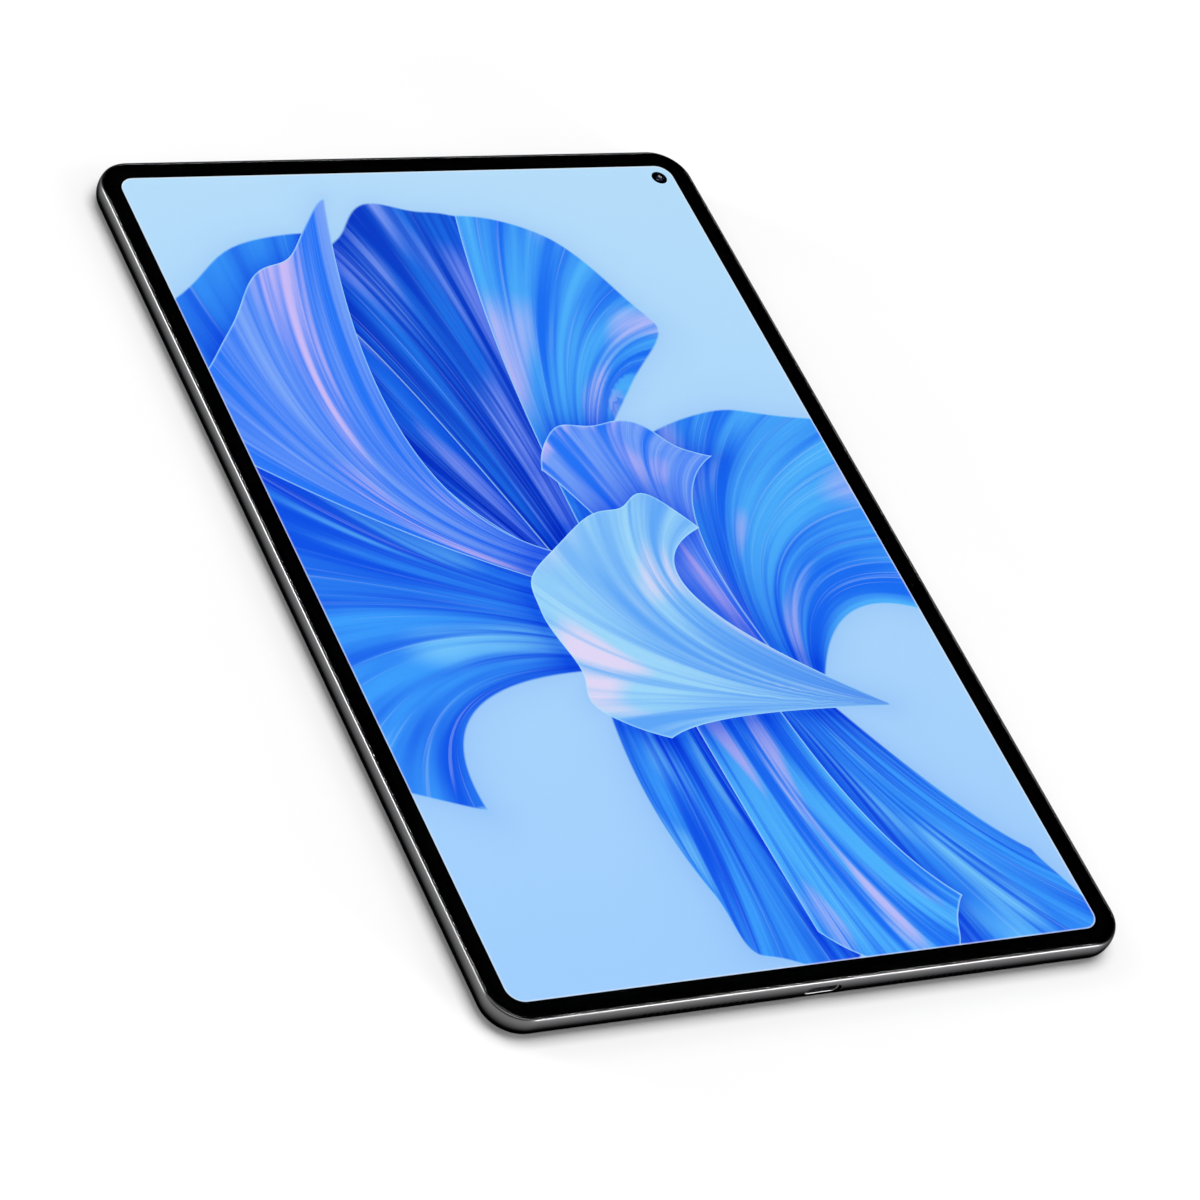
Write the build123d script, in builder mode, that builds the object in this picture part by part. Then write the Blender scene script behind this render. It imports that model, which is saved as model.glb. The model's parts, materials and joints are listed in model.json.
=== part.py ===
from build123d import *
import os
from math import asin, degrees

# Tablet computer lying on its back. +X is the right of the upright screen, +Y its top edge, +Z out of
# the screen. The origin is the middle of the flat rear face. All sizes are in millimetres.

# ---- Picture area, cover glass and overall size ----
screen_width = 148.1
screen_height = 236.96
screen_corner = 3.9
border_width = 4.45  # black printed border between picture and glass edge
thickness = 5.9  # rear face to top of the glass
glass_thickness = 0.7
glass_edge_radius = 0.25
glass_gap = 0.08  # between the glass edge and the frame lip

# ---- Metal frame section, measured outwards from the glass edge ----
side_bulge = 0.75  # the widest line of the side stands this far out
side_widest = 3.5  # height of that widest line
rim_inset = 1.05  # where the rounded side meets the flat rear rim
rear_rim_width = 0.8
lip_drop = 0.12  # frame lip below the top of the glass
lip_roll_width = 0.7
lip_fillet = 0.14
wall_inset = 1.6  # inner face of the side wall
cover_seat_width = 1.5
cover_seat_thickness = 0.8
shelf_thickness = 0.4
wall_overlap = 0.2  # how far the shelf runs into the wall to become one piece with it

# ---- Thin layers and clearances ----
glass_tape_thickness = 0.15
tape_margin = 0.15
optical_gap = 0.05  # clear bonding layer between panel and glass
panel_thickness = 0.7
panel_gap = 0.15
cushion_thickness = 0.15
cushion_margin = 1.5
cover_thickness = 0.75
cover_gap = 0.05
cover_tape_thickness = 0.1
flex_thickness = 0.12
graphite_thickness = 0.1
graphite_lift = 0.02
part_gap = 0.3  # general clearance between modules
fit_gap = 0.1  # clearance of a module in its cut-out
contact_gap = 0.02

# ---- Front camera and light sensor ----
punch_hole_radius = 2.03
front_camera_from_right = 4.06
front_camera_from_top = 4.05
front_camera_size = 7.0
front_camera_low = 1.3
front_barrel_radius = 1.75
front_barrel_reach = 0.08  # end of the barrel below the glass
front_aperture_radius = 0.75
front_cup_depth = 0.55
camera_body_chamfer = 0.25
light_sensor_width = 3.2
light_sensor_length = 2.2
light_sensor_height = 1.0
light_sensor_from_top = 11.0

# ---- Rear cameras ----
island_width = 15.0
island_length = 33.0
island_from_side = 20.5
island_from_top = 24.9
island_bump = 1.0
island_edge_radius = 0.35
island_flange = 1.2
island_flange_thickness = 0.25
window_border = 0.8
window_ledge = 1.0
window_thickness = 0.55
camera_spacing = 16.0
main_camera_size = 9.6
wide_camera_size = 8.6
sensor_board_thickness = 0.5
sensor_chip_width = 4.6
sensor_chip_length = 3.6
sensor_chip_height = 0.3
main_barrel_radius = 3.2
wide_barrel_radius = 2.8
barrel_running_gap = 0.05
focus_travel = 0.3
focus_end_gap = 0.05
lens_cup_depth = 0.8
lens_cup_slope = 1.0
flash_radius = 1.9
flash_base_size = 4.0
flash_height = 1.2
bracket_thickness = 0.6
bracket_rim = 1.4
bracket_ear_radius = 2.2
bracket_ear_offset = 8.3

# ---- Main board ----
board_length = 34.0
board_thickness = 0.7
board_corner = 1.5
board_from_left = 6.5
speaker_to_board = 1.0
board_to_camera = 13.0
board_screw_inset = 4.0
boss_height = 1.2
boss_radius = 1.7
shield_wall = 0.2
shield_corner = 1.5
thermal_pad_thickness = 0.15
shield_to_screw = 4.25  # edge of a shield to the line of the board screws
shield_from_board_edge = 3.0
processor_size = 13.0
processor_height = 0.75
memory_width = 9.0
memory_length = 11.0
memory_height = 0.7
storage_width = 9.0
storage_length = 12.5
storage_height = 0.8
wireless_module_margin = 5.0  # shield wall to the module under it
wireless_module_height = 0.75
power_chip_size = 8.0
power_chip_height = 0.8
power_chip_gap = 4.0
chip_corner = 0.1
chip_edge = 0.04
connector_width = 9.0
connector_length = 3.0
connector_height = 0.7
connector_inset = 2.6

# ---- Screws, all alike ----
screw_radius = 0.7
screw_head_radius = 1.3
screw_head_height = 0.5
screw_length = 1.8
thread_gap = 0.02
screw_hole_gap = 0.1
drive_radius = 0.45
drive_depth = 0.3

# ---- Battery ----
cell_from_side = 12.5  # glass edge to the outer side of a cell
cell_low = 0.95
cell_edge_radius = 0.6
cell_corner = 2.5
cell_spacing = 8.0
cell_tape_thickness = 0.1
cell_tape_width = 12.0
cell_tape_shortfall = 16.0
battery_board_inset = 16.0
battery_board_length = 3.0
battery_board_height = 1.85
battery_board_gap = 0.6
battery_board_lift = 0.15  # above the underside of the connectors
battery_to_board = 7.0
battery_to_usb_board = 14.0

# ---- Flexes ----
main_flex_width = 6.0
battery_flex_width = 8.0
battery_flex_from_screw = 12.0
display_flex_width = 12.0
display_flex_from_end = 11.0
display_flex_reach = 10.0  # length bonded behind the panel
display_flex_from_board = 2.5
flex_slot_margin = 0.5

# ---- USB-C socket ----
port_level = 2.7  # height of the socket, speaker and microphone openings
usb_shell_width = 8.94
usb_shell_height = 3.16
usb_shell_wall = 0.3
usb_shell_length = 7.3
usb_recess = 0.15
usb_opening_gap = 0.05
usb_tongue_width = 6.7
usb_tongue_thickness = 0.7
usb_tongue_recess = 1.4
usb_base_length = 2.0
usb_board_width = 25.0
usb_board_length = 19.0
usb_screw_x = 9.0
usb_screw_from_edge = 9.0

# ---- Speakers and microphones ----
speaker_gap = 1.2  # to the socket board on one side and the power key bracket on the other
speaker_depth = 14.0
module_low = 1.0  # lowest level of speakers, magnets and pen coil
module_corner = 1.5
speaker_nozzle_height = 1.5
speaker_nozzle_wall = 0.3
speaker_channel_depth = 6.0
speaker_cone_margin_x = 4.5
speaker_cone_length = 9.0
speaker_cone_corner = 3.0
speaker_cone_depth = 0.5
speaker_hole_radius = 0.5
speaker_hole_pitch = 1.6
speaker_row_margin = 2.0
mesh_thickness = 0.2
mesh_margin = 0.4
microphone_width = 3.0
microphone_height = 2.0
microphone_depth = 1.0
microphone_hole_radius = 0.45

# ---- Keys ----
key_level = 2.78
key_height = 2.0
key_gap = 0.1  # all round, between key and frame
key_stand = 0.35  # the key's face beyond the widest line of the side
power_key_length = 12.0
power_key_from_side = 22.5
power_key_travel = 0.25
power_key_stop = 0.15
volume_key_length = 22.0
volume_key_from_top = 39.0
volume_key_stop = 0.3
key_flange_length = 2.4  # longer than the bar, both ends together
key_flange_height = 1.7
key_flange_thickness = 0.6
key_face_radius = 0.2
key_nub_radius = 0.7
key_nub_length = 0.4
fingerprint_margin = 0.9
fingerprint_height = 1.4
fingerprint_depth = 0.25
plunger_radius = 0.6
plunger_length = 0.8
plunger_hole_gap = 0.06
plunger_stand = 0.35  # plunger in front of its switch at rest
switch_length = 4.0
switch_height = 2.0
switch_depth = 1.3
key_bracket_wall = 0.35
key_bracket_height = 2.1
key_bracket_end_gap = 0.6  # each end of a key's flange to the bracket's leg
volume_nub_y = 8.0
rocker_eye_radius = 1.0
rocker_eye_depth = 0.9  # pivot behind the back of the rocker's flange
rocker_eye_height = 1.3
rocker_neck_width = 1.6
rocker_pin_radius = 0.4
rocker_pin_gap = 0.03
fixed_pin_gap = 0.01
rocker_ear_thickness = 0.3
rocker_ear_gap = 0.08
rocker_ear_width = 3.0

# ---- Small parts along the edges ----
antenna_width = 16.0
antenna_length = 9.0
antenna_height = 1.4
antenna_inset_x = 16.5
antenna_inset_y = 11.9
magnet_width = 3.0
magnet_length = 10.0
magnet_height = 2.0
magnet_to_board = 5.0  # end magnet to the lower edge of the main board
magnet_inset = 6.0
pen_coil_length = 34.0
pen_coil_width = 4.8
pen_coil_wire = 1.5
pen_coil_height = 1.6

# ---- Worked out from the sizes above ----
glass_width = screen_width + 2 * border_width
glass_height = screen_height + 2 * border_width
glass_corner = screen_corner + border_width
lip_roll_height = thickness - side_widest
half_w = glass_width / 2
half_h = glass_height / 2
glass_bottom = thickness - glass_thickness
ledge_level = glass_bottom - glass_tape_thickness
panel_top = glass_bottom - optical_gap
panel_bottom = panel_top - panel_thickness
panel_inset = wall_inset + panel_gap
shelf_top = panel_bottom - cushion_thickness
shelf_bottom = shelf_top - shelf_thickness
rim_inner = rim_inset + rear_rim_width
seat_inset = rim_inner + cover_seat_width
seat_level = cover_thickness + cover_tape_thickness
seat_top = seat_level + cover_seat_thickness

front_camera_x = screen_width / 2 - front_camera_from_right
front_camera_y = screen_height / 2 - front_camera_from_top
front_camera_top = shelf_top - fit_gap
light_sensor_y = half_h - light_sensor_from_top

island_x = half_w - island_from_side
island_y = half_h - island_from_top
main_camera_y = island_y + camera_spacing / 2
wide_camera_y = island_y - camera_spacing / 2
window_top = -island_bump + contact_gap + window_thickness
flange_low = cover_thickness + contact_gap
camera_low = flange_low + island_flange_thickness + fit_gap
barrel_low = window_top + focus_end_gap + focus_travel
bracket_low = camera_low + screw_head_height

board_top = shelf_bottom - boss_height
board_bottom_level = board_top - board_thickness
board_left = -half_w + board_from_left
board_right = island_x - board_to_camera
board_width = board_right - board_left
board_x = (board_left + board_right) / 2
speaker_outer_y = half_h - seat_inset - part_gap
usb_board_edge = speaker_outer_y
board_upper_edge = speaker_outer_y - speaker_depth - speaker_to_board
board_lower_edge = board_upper_edge - board_length
board_y = (board_upper_edge + board_lower_edge) / 2
bay_width = board_width / 2 - board_screw_inset
shield_length = board_length - 2 * shield_from_board_edge
processor_shield_width = bay_width - 2 * shield_to_screw
processor_bay_x = board_x - bay_width / 2
wireless_shield_width = processor_shield_width - power_chip_size - power_chip_gap
wireless_bay_x = board_x + shield_to_screw + wireless_shield_width / 2
power_chip_x = board_x + bay_width - shield_to_screw - power_chip_size / 2
shield_top = shelf_bottom - thermal_pad_thickness
connector_y = board_lower_edge + connector_inset
connector_low = board_bottom_level - connector_height
flex_low = connector_low - flex_thickness

cell_high = shelf_bottom - cell_tape_thickness
cell_top_edge = board_lower_edge - battery_to_board
cell_bottom_edge = usb_board_length + battery_to_usb_board - usb_board_edge
cell_length = cell_top_edge - cell_bottom_edge
cell_y = (cell_top_edge + cell_bottom_edge) / 2
cell_width = half_w - cell_from_side - cell_spacing / 2
cell_x = (cell_spacing + cell_width) / 2
battery_flex_x = board_x - battery_flex_from_screw
battery_board_width = 2 * (cell_width - battery_board_inset) + cell_spacing
battery_board_y = cell_top_edge + battery_board_gap + battery_board_length / 2
battery_board_low = connector_low + battery_board_lift
magnet_pitch = (board_lower_edge - magnet_to_board - magnet_length / 2) / 2
display_flex_x = board_right - display_flex_from_end
display_flex_y = board_lower_edge - display_flex_from_board

usb_front = half_h - usb_recess
usb_back = usb_front - usb_shell_length
usb_board_y = -(usb_board_edge - usb_board_length / 2)
usb_connector_y = usb_board_y + usb_board_length / 2 - connector_inset

power_key_x = half_w - power_key_from_side
volume_key_y = half_h - volume_key_from_top
power_flange_length = power_key_length + key_flange_length
volume_flange_length = volume_key_length + key_flange_length
power_bracket_length = power_flange_length + 2 * (key_bracket_end_gap + key_bracket_wall)
volume_bracket_length = volume_flange_length + 2 * (key_bracket_end_gap + key_bracket_wall)
speaker_inner = usb_board_width / 2 + speaker_gap
speaker_outer = power_key_x - power_bracket_length / 2 - speaker_gap
speaker_width = speaker_outer - speaker_inner
speaker_x = (speaker_inner + speaker_outer) / 2
speaker_hole_count = int((speaker_width - 2 * speaker_row_margin) / speaker_hole_pitch)
microphone_places = (0, -power_key_x)
fingerprint_length = power_key_length - 2 * fingerprint_margin
key_face = side_bulge + key_stand
power_flange_front = -wall_inset - power_key_stop
power_flange_back = power_flange_front - key_flange_thickness
power_nub_back = power_flange_back - key_nub_length
volume_flange_front = -wall_inset - volume_key_stop
volume_flange_back = volume_flange_front - key_flange_thickness
volume_nub_back = volume_flange_back - key_nub_length
rocker_pivot = volume_flange_back - rocker_eye_depth
rocker_eye_low = key_level - rocker_eye_height / 2
rocker_eye_high = key_level + rocker_eye_height / 2


# ---- Helpers: each adds to, or cuts from, the part that is being built ----
def plate(width, length, low, high, at=(0, 0), corner=0.0, mode=Mode.ADD):
    """Flat rectangular plate between two heights, with rounded corners if asked."""
    with BuildSketch(Plane.XY.offset(low)) as outline:
        with Locations(at):
            if corner > 0:
                RectangleRounded(width, length, corner)
            else:
                Rectangle(width, length)
    extrude(outline.sketch, amount=high - low, mode=mode)


def pill(width, length, low, high, at=(0, 0), mode=Mode.ADD):
    """Plate with round ends, its long side along Y."""
    with BuildSketch(Plane.XY.offset(low)) as outline:
        with Locations(at):
            SlotOverall(length, width, rotation=90)
    extrude(outline.sketch, amount=high - low, mode=mode)


def disc(radius, low, high, at=(0, 0), mode=Mode.ADD):
    """Upright round piece or hole between two heights."""
    with BuildSketch(Plane.XY.offset(low)) as outline:
        with Locations(at):
            Circle(radius)
    extrude(outline.sketch, amount=high - low, mode=mode)


def outline_plate(inset, low, high, mode=Mode.ADD):
    """Plate that follows the outline of the glass, set in from it."""
    width = glass_width - 2 * inset
    length = glass_height - 2 * inset
    plate(width, length, low, high, corner=glass_corner - inset, mode=mode)


def lens_cup(radius, low, at):
    """Dished mouth of a lens barrel, opening towards the rear."""
    with BuildSketch(Plane.XY.offset(low)) as mouth:
        with Locations(at):
            Circle(radius)
    with BuildSketch(Plane.XY.offset(low + lens_cup_depth)) as floor:
        with Locations(at):
            Circle(radius - lens_cup_slope)
    loft([mouth.sketch.faces()[0], floor.sketch.faces()[0]], mode=Mode.SUBTRACT)


def top_plane(x, depth, level):
    """Plane facing out of the top side, depth beyond the glass edge."""
    return Plane(origin=(x, half_h + depth, level), x_dir=(-1, 0, 0), z_dir=(0, 1, 0))


def bottom_plane(x, depth, level):
    """Plane facing out of the bottom side, depth beyond the glass edge."""
    return Plane(origin=(x, -half_h - depth, level), x_dir=(1, 0, 0), z_dir=(0, -1, 0))


def right_plane(y, depth, level):
    """Plane facing out of the right side, depth beyond the glass edge."""
    return Plane(origin=(half_w + depth, y, level), x_dir=(0, 1, 0), z_dir=(1, 0, 0))


def slot_bar(plane_of, along, level, length, height, back, front, mode=Mode.ADD):
    """Round-ended bar running into a side, between two depths."""
    with BuildSketch(plane_of(along, back, level)) as outline:
        SlotOverall(length, height)
    extrude(outline.sketch, amount=front - back, mode=mode)


def block(plane_of, along, level, length, height, back, front, mode=Mode.ADD):
    """Rectangular block running into a side, between two depths."""
    with BuildSketch(plane_of(along, back, level)) as outline:
        Rectangle(length, height)
    extrude(outline.sketch, amount=front - back, mode=mode)


def rod(plane_of, along, level, radius, back, front, mode=Mode.ADD):
    """Round rod or hole running into a side, between two depths."""
    with BuildSketch(plane_of(along, back, level)) as outline:
        Circle(radius)
    extrude(outline.sketch, amount=front - back, mode=mode)


def hole_row(plane_of, along):
    """Row of round speaker holes through a side wall."""
    with BuildSketch(plane_of(along, -wall_inset - fit_gap, port_level)) as outline:
        with GridLocations(speaker_hole_pitch, 0, speaker_hole_count, 1):
            Circle(speaker_hole_radius)
    extrude(outline.sketch, amount=wall_inset + 2 * side_bulge, mode=Mode.SUBTRACT)


def save(builder, name):
    """Names a finished piece and writes it."""
    builder.part.label = name
    export_step(builder.part, f"parts/{name}.step")


# ---- Places that several pieces share ----
def board_screw_places():
    """Two rows of three screws along the main board."""
    reach_x = board_width / 2 - board_screw_inset
    reach_y = board_length / 2 - board_screw_inset
    return [(board_x + i * reach_x, board_y + j * reach_y) for i in (-1, 0, 1) for j in (-1, 1)]


def usb_screw_places():
    """One screw each side of the socket."""
    return [(side * usb_screw_x, -(half_h - wall_inset - usb_screw_from_edge)) for side in (-1, 1)]


def bracket_screw_places():
    """Two screws beside the rear cameras."""
    return [(island_x - bracket_ear_offset, y) for y in (main_camera_y, wide_camera_y)]


def all_screw_places():
    """Every screw, with the level that its head bears on."""
    heads = [(place, board_bottom_level) for place in board_screw_places() + usb_screw_places()]
    return heads + [(place, bracket_low) for place in bracket_screw_places()]


# ---- Display ----
def make_cover_glass():
    with BuildPart() as cover_glass:
        outline_plate(0, glass_bottom, thickness)
        fillet(cover_glass.faces().sort_by(Axis.Z)[-1].edges(), glass_edge_radius)
    save(cover_glass, "cover_glass")


def make_display_tape():
    with BuildPart() as display_tape:
        outline_plate(tape_margin, ledge_level, glass_bottom)
        outline_plate(wall_inset - tape_margin, ledge_level, glass_bottom, mode=Mode.SUBTRACT)
    save(display_tape, "display_tape")


def make_display_panel():
    with BuildPart() as display_panel:
        outline_plate(panel_inset, panel_bottom, panel_top)
        disc(punch_hole_radius, panel_bottom, panel_top, (front_camera_x, front_camera_y), Mode.SUBTRACT)
    save(display_panel, "display_panel")


def make_display_cushion():
    window_width = display_flex_width + 2 * flex_slot_margin
    window_length = display_flex_reach + 2 * flex_slot_margin
    window_y = display_flex_y - display_flex_reach / 2
    with BuildPart() as display_cushion:
        outline_plate(panel_inset + cushion_margin, shelf_top, panel_bottom)
        disc(punch_hole_radius, shelf_top, panel_bottom, (front_camera_x, front_camera_y), Mode.SUBTRACT)
        plate(
            window_width, window_length, shelf_top, panel_bottom, (display_flex_x, window_y),
            mode=Mode.SUBTRACT,
        )
    save(display_cushion, "display_cushion")


def make_display_flex():
    leg_y = display_flex_y - flex_thickness / 2
    upper_low = shelf_top + contact_gap
    upper_high = upper_low + flex_thickness
    lower_end = connector_y + connector_length / 2
    with BuildPart() as display_flex:
        plate(
            display_flex_width, display_flex_reach, upper_low, upper_high,
            (display_flex_x, display_flex_y - display_flex_reach / 2),
        )
        plate(display_flex_width, flex_thickness, flex_low, upper_high, (display_flex_x, leg_y))
        plate(
            display_flex_width, lower_end - display_flex_y + flex_thickness, flex_low, connector_low,
            (display_flex_x, (lower_end + display_flex_y - flex_thickness) / 2),
        )
    save(display_flex, "display_flex")


# ---- Front camera and sensor ----
def make_front_camera():
    place = (front_camera_x, front_camera_y)
    with BuildPart() as front_camera:
        plate(front_camera_size, front_camera_size, front_camera_low, front_camera_top, place)
        chamfer(front_camera.edges().filter_by(Axis.Z), camera_body_chamfer)
    save(front_camera, "front_camera")


def make_front_camera_lens():
    place = (front_camera_x, front_camera_y)
    barrel_top = glass_bottom - front_barrel_reach
    with BuildPart() as front_camera_lens:
        disc(front_barrel_radius, front_camera_top, barrel_top, place)
        with BuildSketch(Plane.XY.offset(barrel_top)) as mouth:
            with Locations(place):
                Circle(front_barrel_radius - fit_gap)
        with BuildSketch(Plane.XY.offset(barrel_top - front_cup_depth)) as floor:
            with Locations(place):
                Circle(front_aperture_radius)
        loft([mouth.sketch.faces()[0], floor.sketch.faces()[0]], mode=Mode.SUBTRACT)
    save(front_camera_lens, "front_camera_lens")


def make_light_sensor():
    with BuildPart() as light_sensor:
        plate(
            light_sensor_width, light_sensor_length, front_camera_top - light_sensor_height,
            front_camera_top, (0, light_sensor_y),
        )
    save(light_sensor, "light_sensor")


# ---- Metal frame: side ring, shelf, bosses and every opening ----
def make_mid_frame():
    lip_top = thickness - lip_drop
    lip_angle = degrees(asin((lip_top - side_widest) / lip_roll_height))
    corners = [(half_w, 0), (half_w, half_h), (-half_w, half_h), (-half_w, -half_h), (half_w, -half_h)]
    radii = [0] + [glass_corner] * 4
    section_plane = Plane(origin=(half_w, 0, 0), x_dir=(1, 0, 0), z_dir=(0, -1, 0))
    with BuildPart() as mid_frame:
        with BuildLine() as outline:
            FilletPolyline(corners, radius=radii, close=True)
        with BuildSketch(section_plane) as section:
            with BuildLine():
                lower = EllipticalCenterArc(
                    (-rim_inset, side_widest), side_bulge + rim_inset, side_widest, 270, arc_size=90
                )
                upper = EllipticalCenterArc(
                    (side_bulge - lip_roll_width, side_widest), lip_roll_width, lip_roll_height,
                    0, arc_size=lip_angle,
                )
                Polyline(
                    upper @ 1,
                    (glass_gap, (upper @ 1).Y),
                    (glass_gap, ledge_level),
                    (-wall_inset, ledge_level),
                    (-wall_inset, seat_top),
                    (-seat_inset, seat_top),
                    (-seat_inset, seat_level),
                    (-rim_inner, seat_level),
                    (-rim_inner, 0),
                    lower @ 0,
                )
            make_face()
            lip_corner = section.vertices().group_by(Axis.Y)[-1].sort_by(Axis.X)[-1]
            fillet(lip_corner, lip_fillet)
        sweep(section.sketch, path=outline.wires()[0])
        outline_plate(wall_inset - wall_overlap, shelf_bottom, shelf_top)
        for place in board_screw_places() + usb_screw_places():
            disc(boss_radius, board_top, shelf_bottom, place)
            disc(screw_radius + thread_gap, board_top, shelf_bottom, place, Mode.SUBTRACT)
        for place in bracket_screw_places():
            disc(boss_radius, bracket_low + bracket_thickness, shelf_bottom, place)
            disc(
                screw_radius + thread_gap, bracket_low + bracket_thickness, shelf_bottom, place,
                Mode.SUBTRACT,
            )
        cut_shelf_openings()
        cut_side_openings()
    save(mid_frame, "mid_frame")


def cut_shelf_openings():
    """Holes in the shelf for the cameras, the light sensor and the display flex."""
    squares = [
        (front_camera_size, front_camera_x, front_camera_y),
        (main_camera_size, island_x, main_camera_y),
        (wide_camera_size, island_x, wide_camera_y),
    ]
    for size, x, y in squares:
        opening = size + 2 * fit_gap
        plate(opening, opening, shelf_bottom, shelf_top, (x, y), mode=Mode.SUBTRACT)
    plate(
        light_sensor_width + 2 * fit_gap, light_sensor_length + 2 * fit_gap, shelf_bottom, shelf_top,
        (0, light_sensor_y), mode=Mode.SUBTRACT,
    )
    plate(
        display_flex_width + 2 * flex_slot_margin, flex_thickness + 2 * flex_slot_margin, shelf_bottom,
        shelf_top, (display_flex_x, display_flex_y - flex_thickness / 2), mode=Mode.SUBTRACT,
    )


def cut_side_openings():
    """Socket opening, speaker and microphone holes and the key slots in the side walls."""
    slot_bar(
        bottom_plane, 0, port_level, usb_shell_width + 2 * usb_opening_gap,
        usb_shell_height + 2 * usb_opening_gap, usb_back - half_h - fit_gap, 2 * side_bulge,
        Mode.SUBTRACT,
    )
    for plane_of in (top_plane, bottom_plane):
        for side in (-1, 1):
            hole_row(plane_of, side * speaker_x)
    for x in microphone_places:
        rod(
            top_plane, x, port_level, microphone_hole_radius, -wall_inset - fit_gap, 2 * side_bulge,
            Mode.SUBTRACT,
        )
    slot_bar(
        top_plane, power_key_x, key_level, power_key_length + 2 * key_gap, key_height + 2 * key_gap,
        -wall_inset - fit_gap, 2 * side_bulge, Mode.SUBTRACT,
    )
    slot_bar(
        right_plane, volume_key_y, key_level, volume_key_length + 2 * key_gap,
        key_height + 2 * key_gap, -wall_inset - fit_gap, 2 * side_bulge, Mode.SUBTRACT,
    )


# ---- Rear cover and camera island ----
def make_rear_cover():
    with BuildPart() as rear_cover:
        outline_plate(rim_inner + cover_gap, 0, cover_thickness)
        pill(
            island_width + 2 * cover_gap, island_length + 2 * cover_gap, 0, cover_thickness,
            (island_x, island_y), Mode.SUBTRACT,
        )
    save(rear_cover, "rear_cover")


def make_rear_cover_tape():
    with BuildPart() as rear_cover_tape:
        outline_plate(rim_inner + tape_margin, cover_thickness, seat_level)
        outline_plate(seat_inset - tape_margin, cover_thickness, seat_level, mode=Mode.SUBTRACT)
    save(rear_cover_tape, "rear_cover_tape")


def make_camera_bezel():
    place = (island_x, island_y)
    flange_top = flange_low + island_flange_thickness
    window_width = island_width - 2 * window_border
    window_length = island_length - 2 * window_border
    with BuildPart() as camera_bezel:
        pill(island_width, island_length, -island_bump, flange_top, place)
        fillet(camera_bezel.faces().sort_by(Axis.Z)[0].edges(), island_edge_radius)
        pill(
            island_width + 2 * island_flange, island_length + 2 * island_flange, flange_low, flange_top,
            place,
        )
        pill(window_width, window_length, -island_bump, window_top, place, Mode.SUBTRACT)
        pill(
            window_width - 2 * window_ledge, window_length - 2 * window_ledge, -island_bump, flange_top,
            place, Mode.SUBTRACT,
        )
    save(camera_bezel, "camera_bezel")


def make_camera_window():
    window_width = island_width - 2 * window_border - 2 * contact_gap
    window_length = island_length - 2 * window_border - 2 * contact_gap
    with BuildPart() as camera_window:
        pill(window_width, window_length, window_top - window_thickness, window_top, (island_x, island_y))
    save(camera_window, "camera_window")


def make_main_camera():
    place = (island_x, main_camera_y)
    sensor_low = front_camera_top - sensor_board_thickness
    with BuildPart() as main_camera_body:
        plate(main_camera_size, main_camera_size, camera_low, sensor_low, place)
        chamfer(main_camera_body.edges().filter_by(Axis.Z), camera_body_chamfer)
        disc(main_barrel_radius + barrel_running_gap, camera_low, sensor_low, place, Mode.SUBTRACT)
    save(main_camera_body, "main_camera_body")

    with BuildPart() as main_camera_sensor:
        plate(main_camera_size, main_camera_size, sensor_low, front_camera_top, place)
        plate(sensor_chip_width, sensor_chip_length, sensor_low - sensor_chip_height, sensor_low, place)
    save(main_camera_sensor, "main_camera_sensor")

    barrel_high = sensor_low - sensor_chip_height - part_gap
    with BuildPart() as main_camera_lens:
        disc(main_barrel_radius, barrel_low, barrel_high, place)
        lens_cup(main_barrel_radius - part_gap, barrel_low, place)
    save(main_camera_lens, "main_camera_lens")


def make_wide_camera():
    place = (island_x, wide_camera_y)
    with BuildPart() as wide_camera:
        plate(wide_camera_size, wide_camera_size, camera_low, front_camera_top, place)
        chamfer(wide_camera.edges().filter_by(Axis.Z), camera_body_chamfer)
        disc(wide_barrel_radius, barrel_low, camera_low, place)
        lens_cup(wide_barrel_radius - part_gap, barrel_low, place)
    save(wide_camera, "wide_camera")


def make_flash_module():
    place = (island_x, island_y)
    flash_top = barrel_low + flash_height
    with BuildPart() as flash_module:
        disc(flash_radius, barrel_low, flash_top, place)
        plate(flash_base_size, flash_base_size, flash_top, flash_top + island_flange_thickness, place)
    save(flash_module, "flash_module")


def make_camera_bracket():
    low = bracket_low
    high = bracket_low + bracket_thickness
    length = camera_spacing + main_camera_size + 2 * bracket_rim
    with BuildPart() as camera_bracket:
        plate(
            main_camera_size + 2 * bracket_rim, length, low, high, (island_x, island_y),
            corner=bracket_rim,
        )
        for x, y in bracket_screw_places():
            disc(bracket_ear_radius, low, high, (x, y))
            plate(bracket_ear_radius, 2 * bracket_ear_radius, low, high, (x + bracket_ear_radius / 2, y))
            disc(screw_radius + screw_hole_gap, low, high, (x, y), Mode.SUBTRACT)
        for size, y in ((main_camera_size, main_camera_y), (wide_camera_size, wide_camera_y)):
            opening = size + 2 * fit_gap
            plate(opening, opening, low, high, (island_x, y), mode=Mode.SUBTRACT)
    save(camera_bracket, "camera_bracket")


# ---- Main board and what is soldered to it ----
def make_main_board():
    with BuildPart() as main_board:
        plate(
            board_width, board_length, board_bottom_level, board_top, (board_x, board_y),
            corner=board_corner,
        )
        for place in board_screw_places():
            disc(screw_radius + screw_hole_gap, board_bottom_level, board_top, place, Mode.SUBTRACT)
    save(main_board, "main_board")


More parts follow.
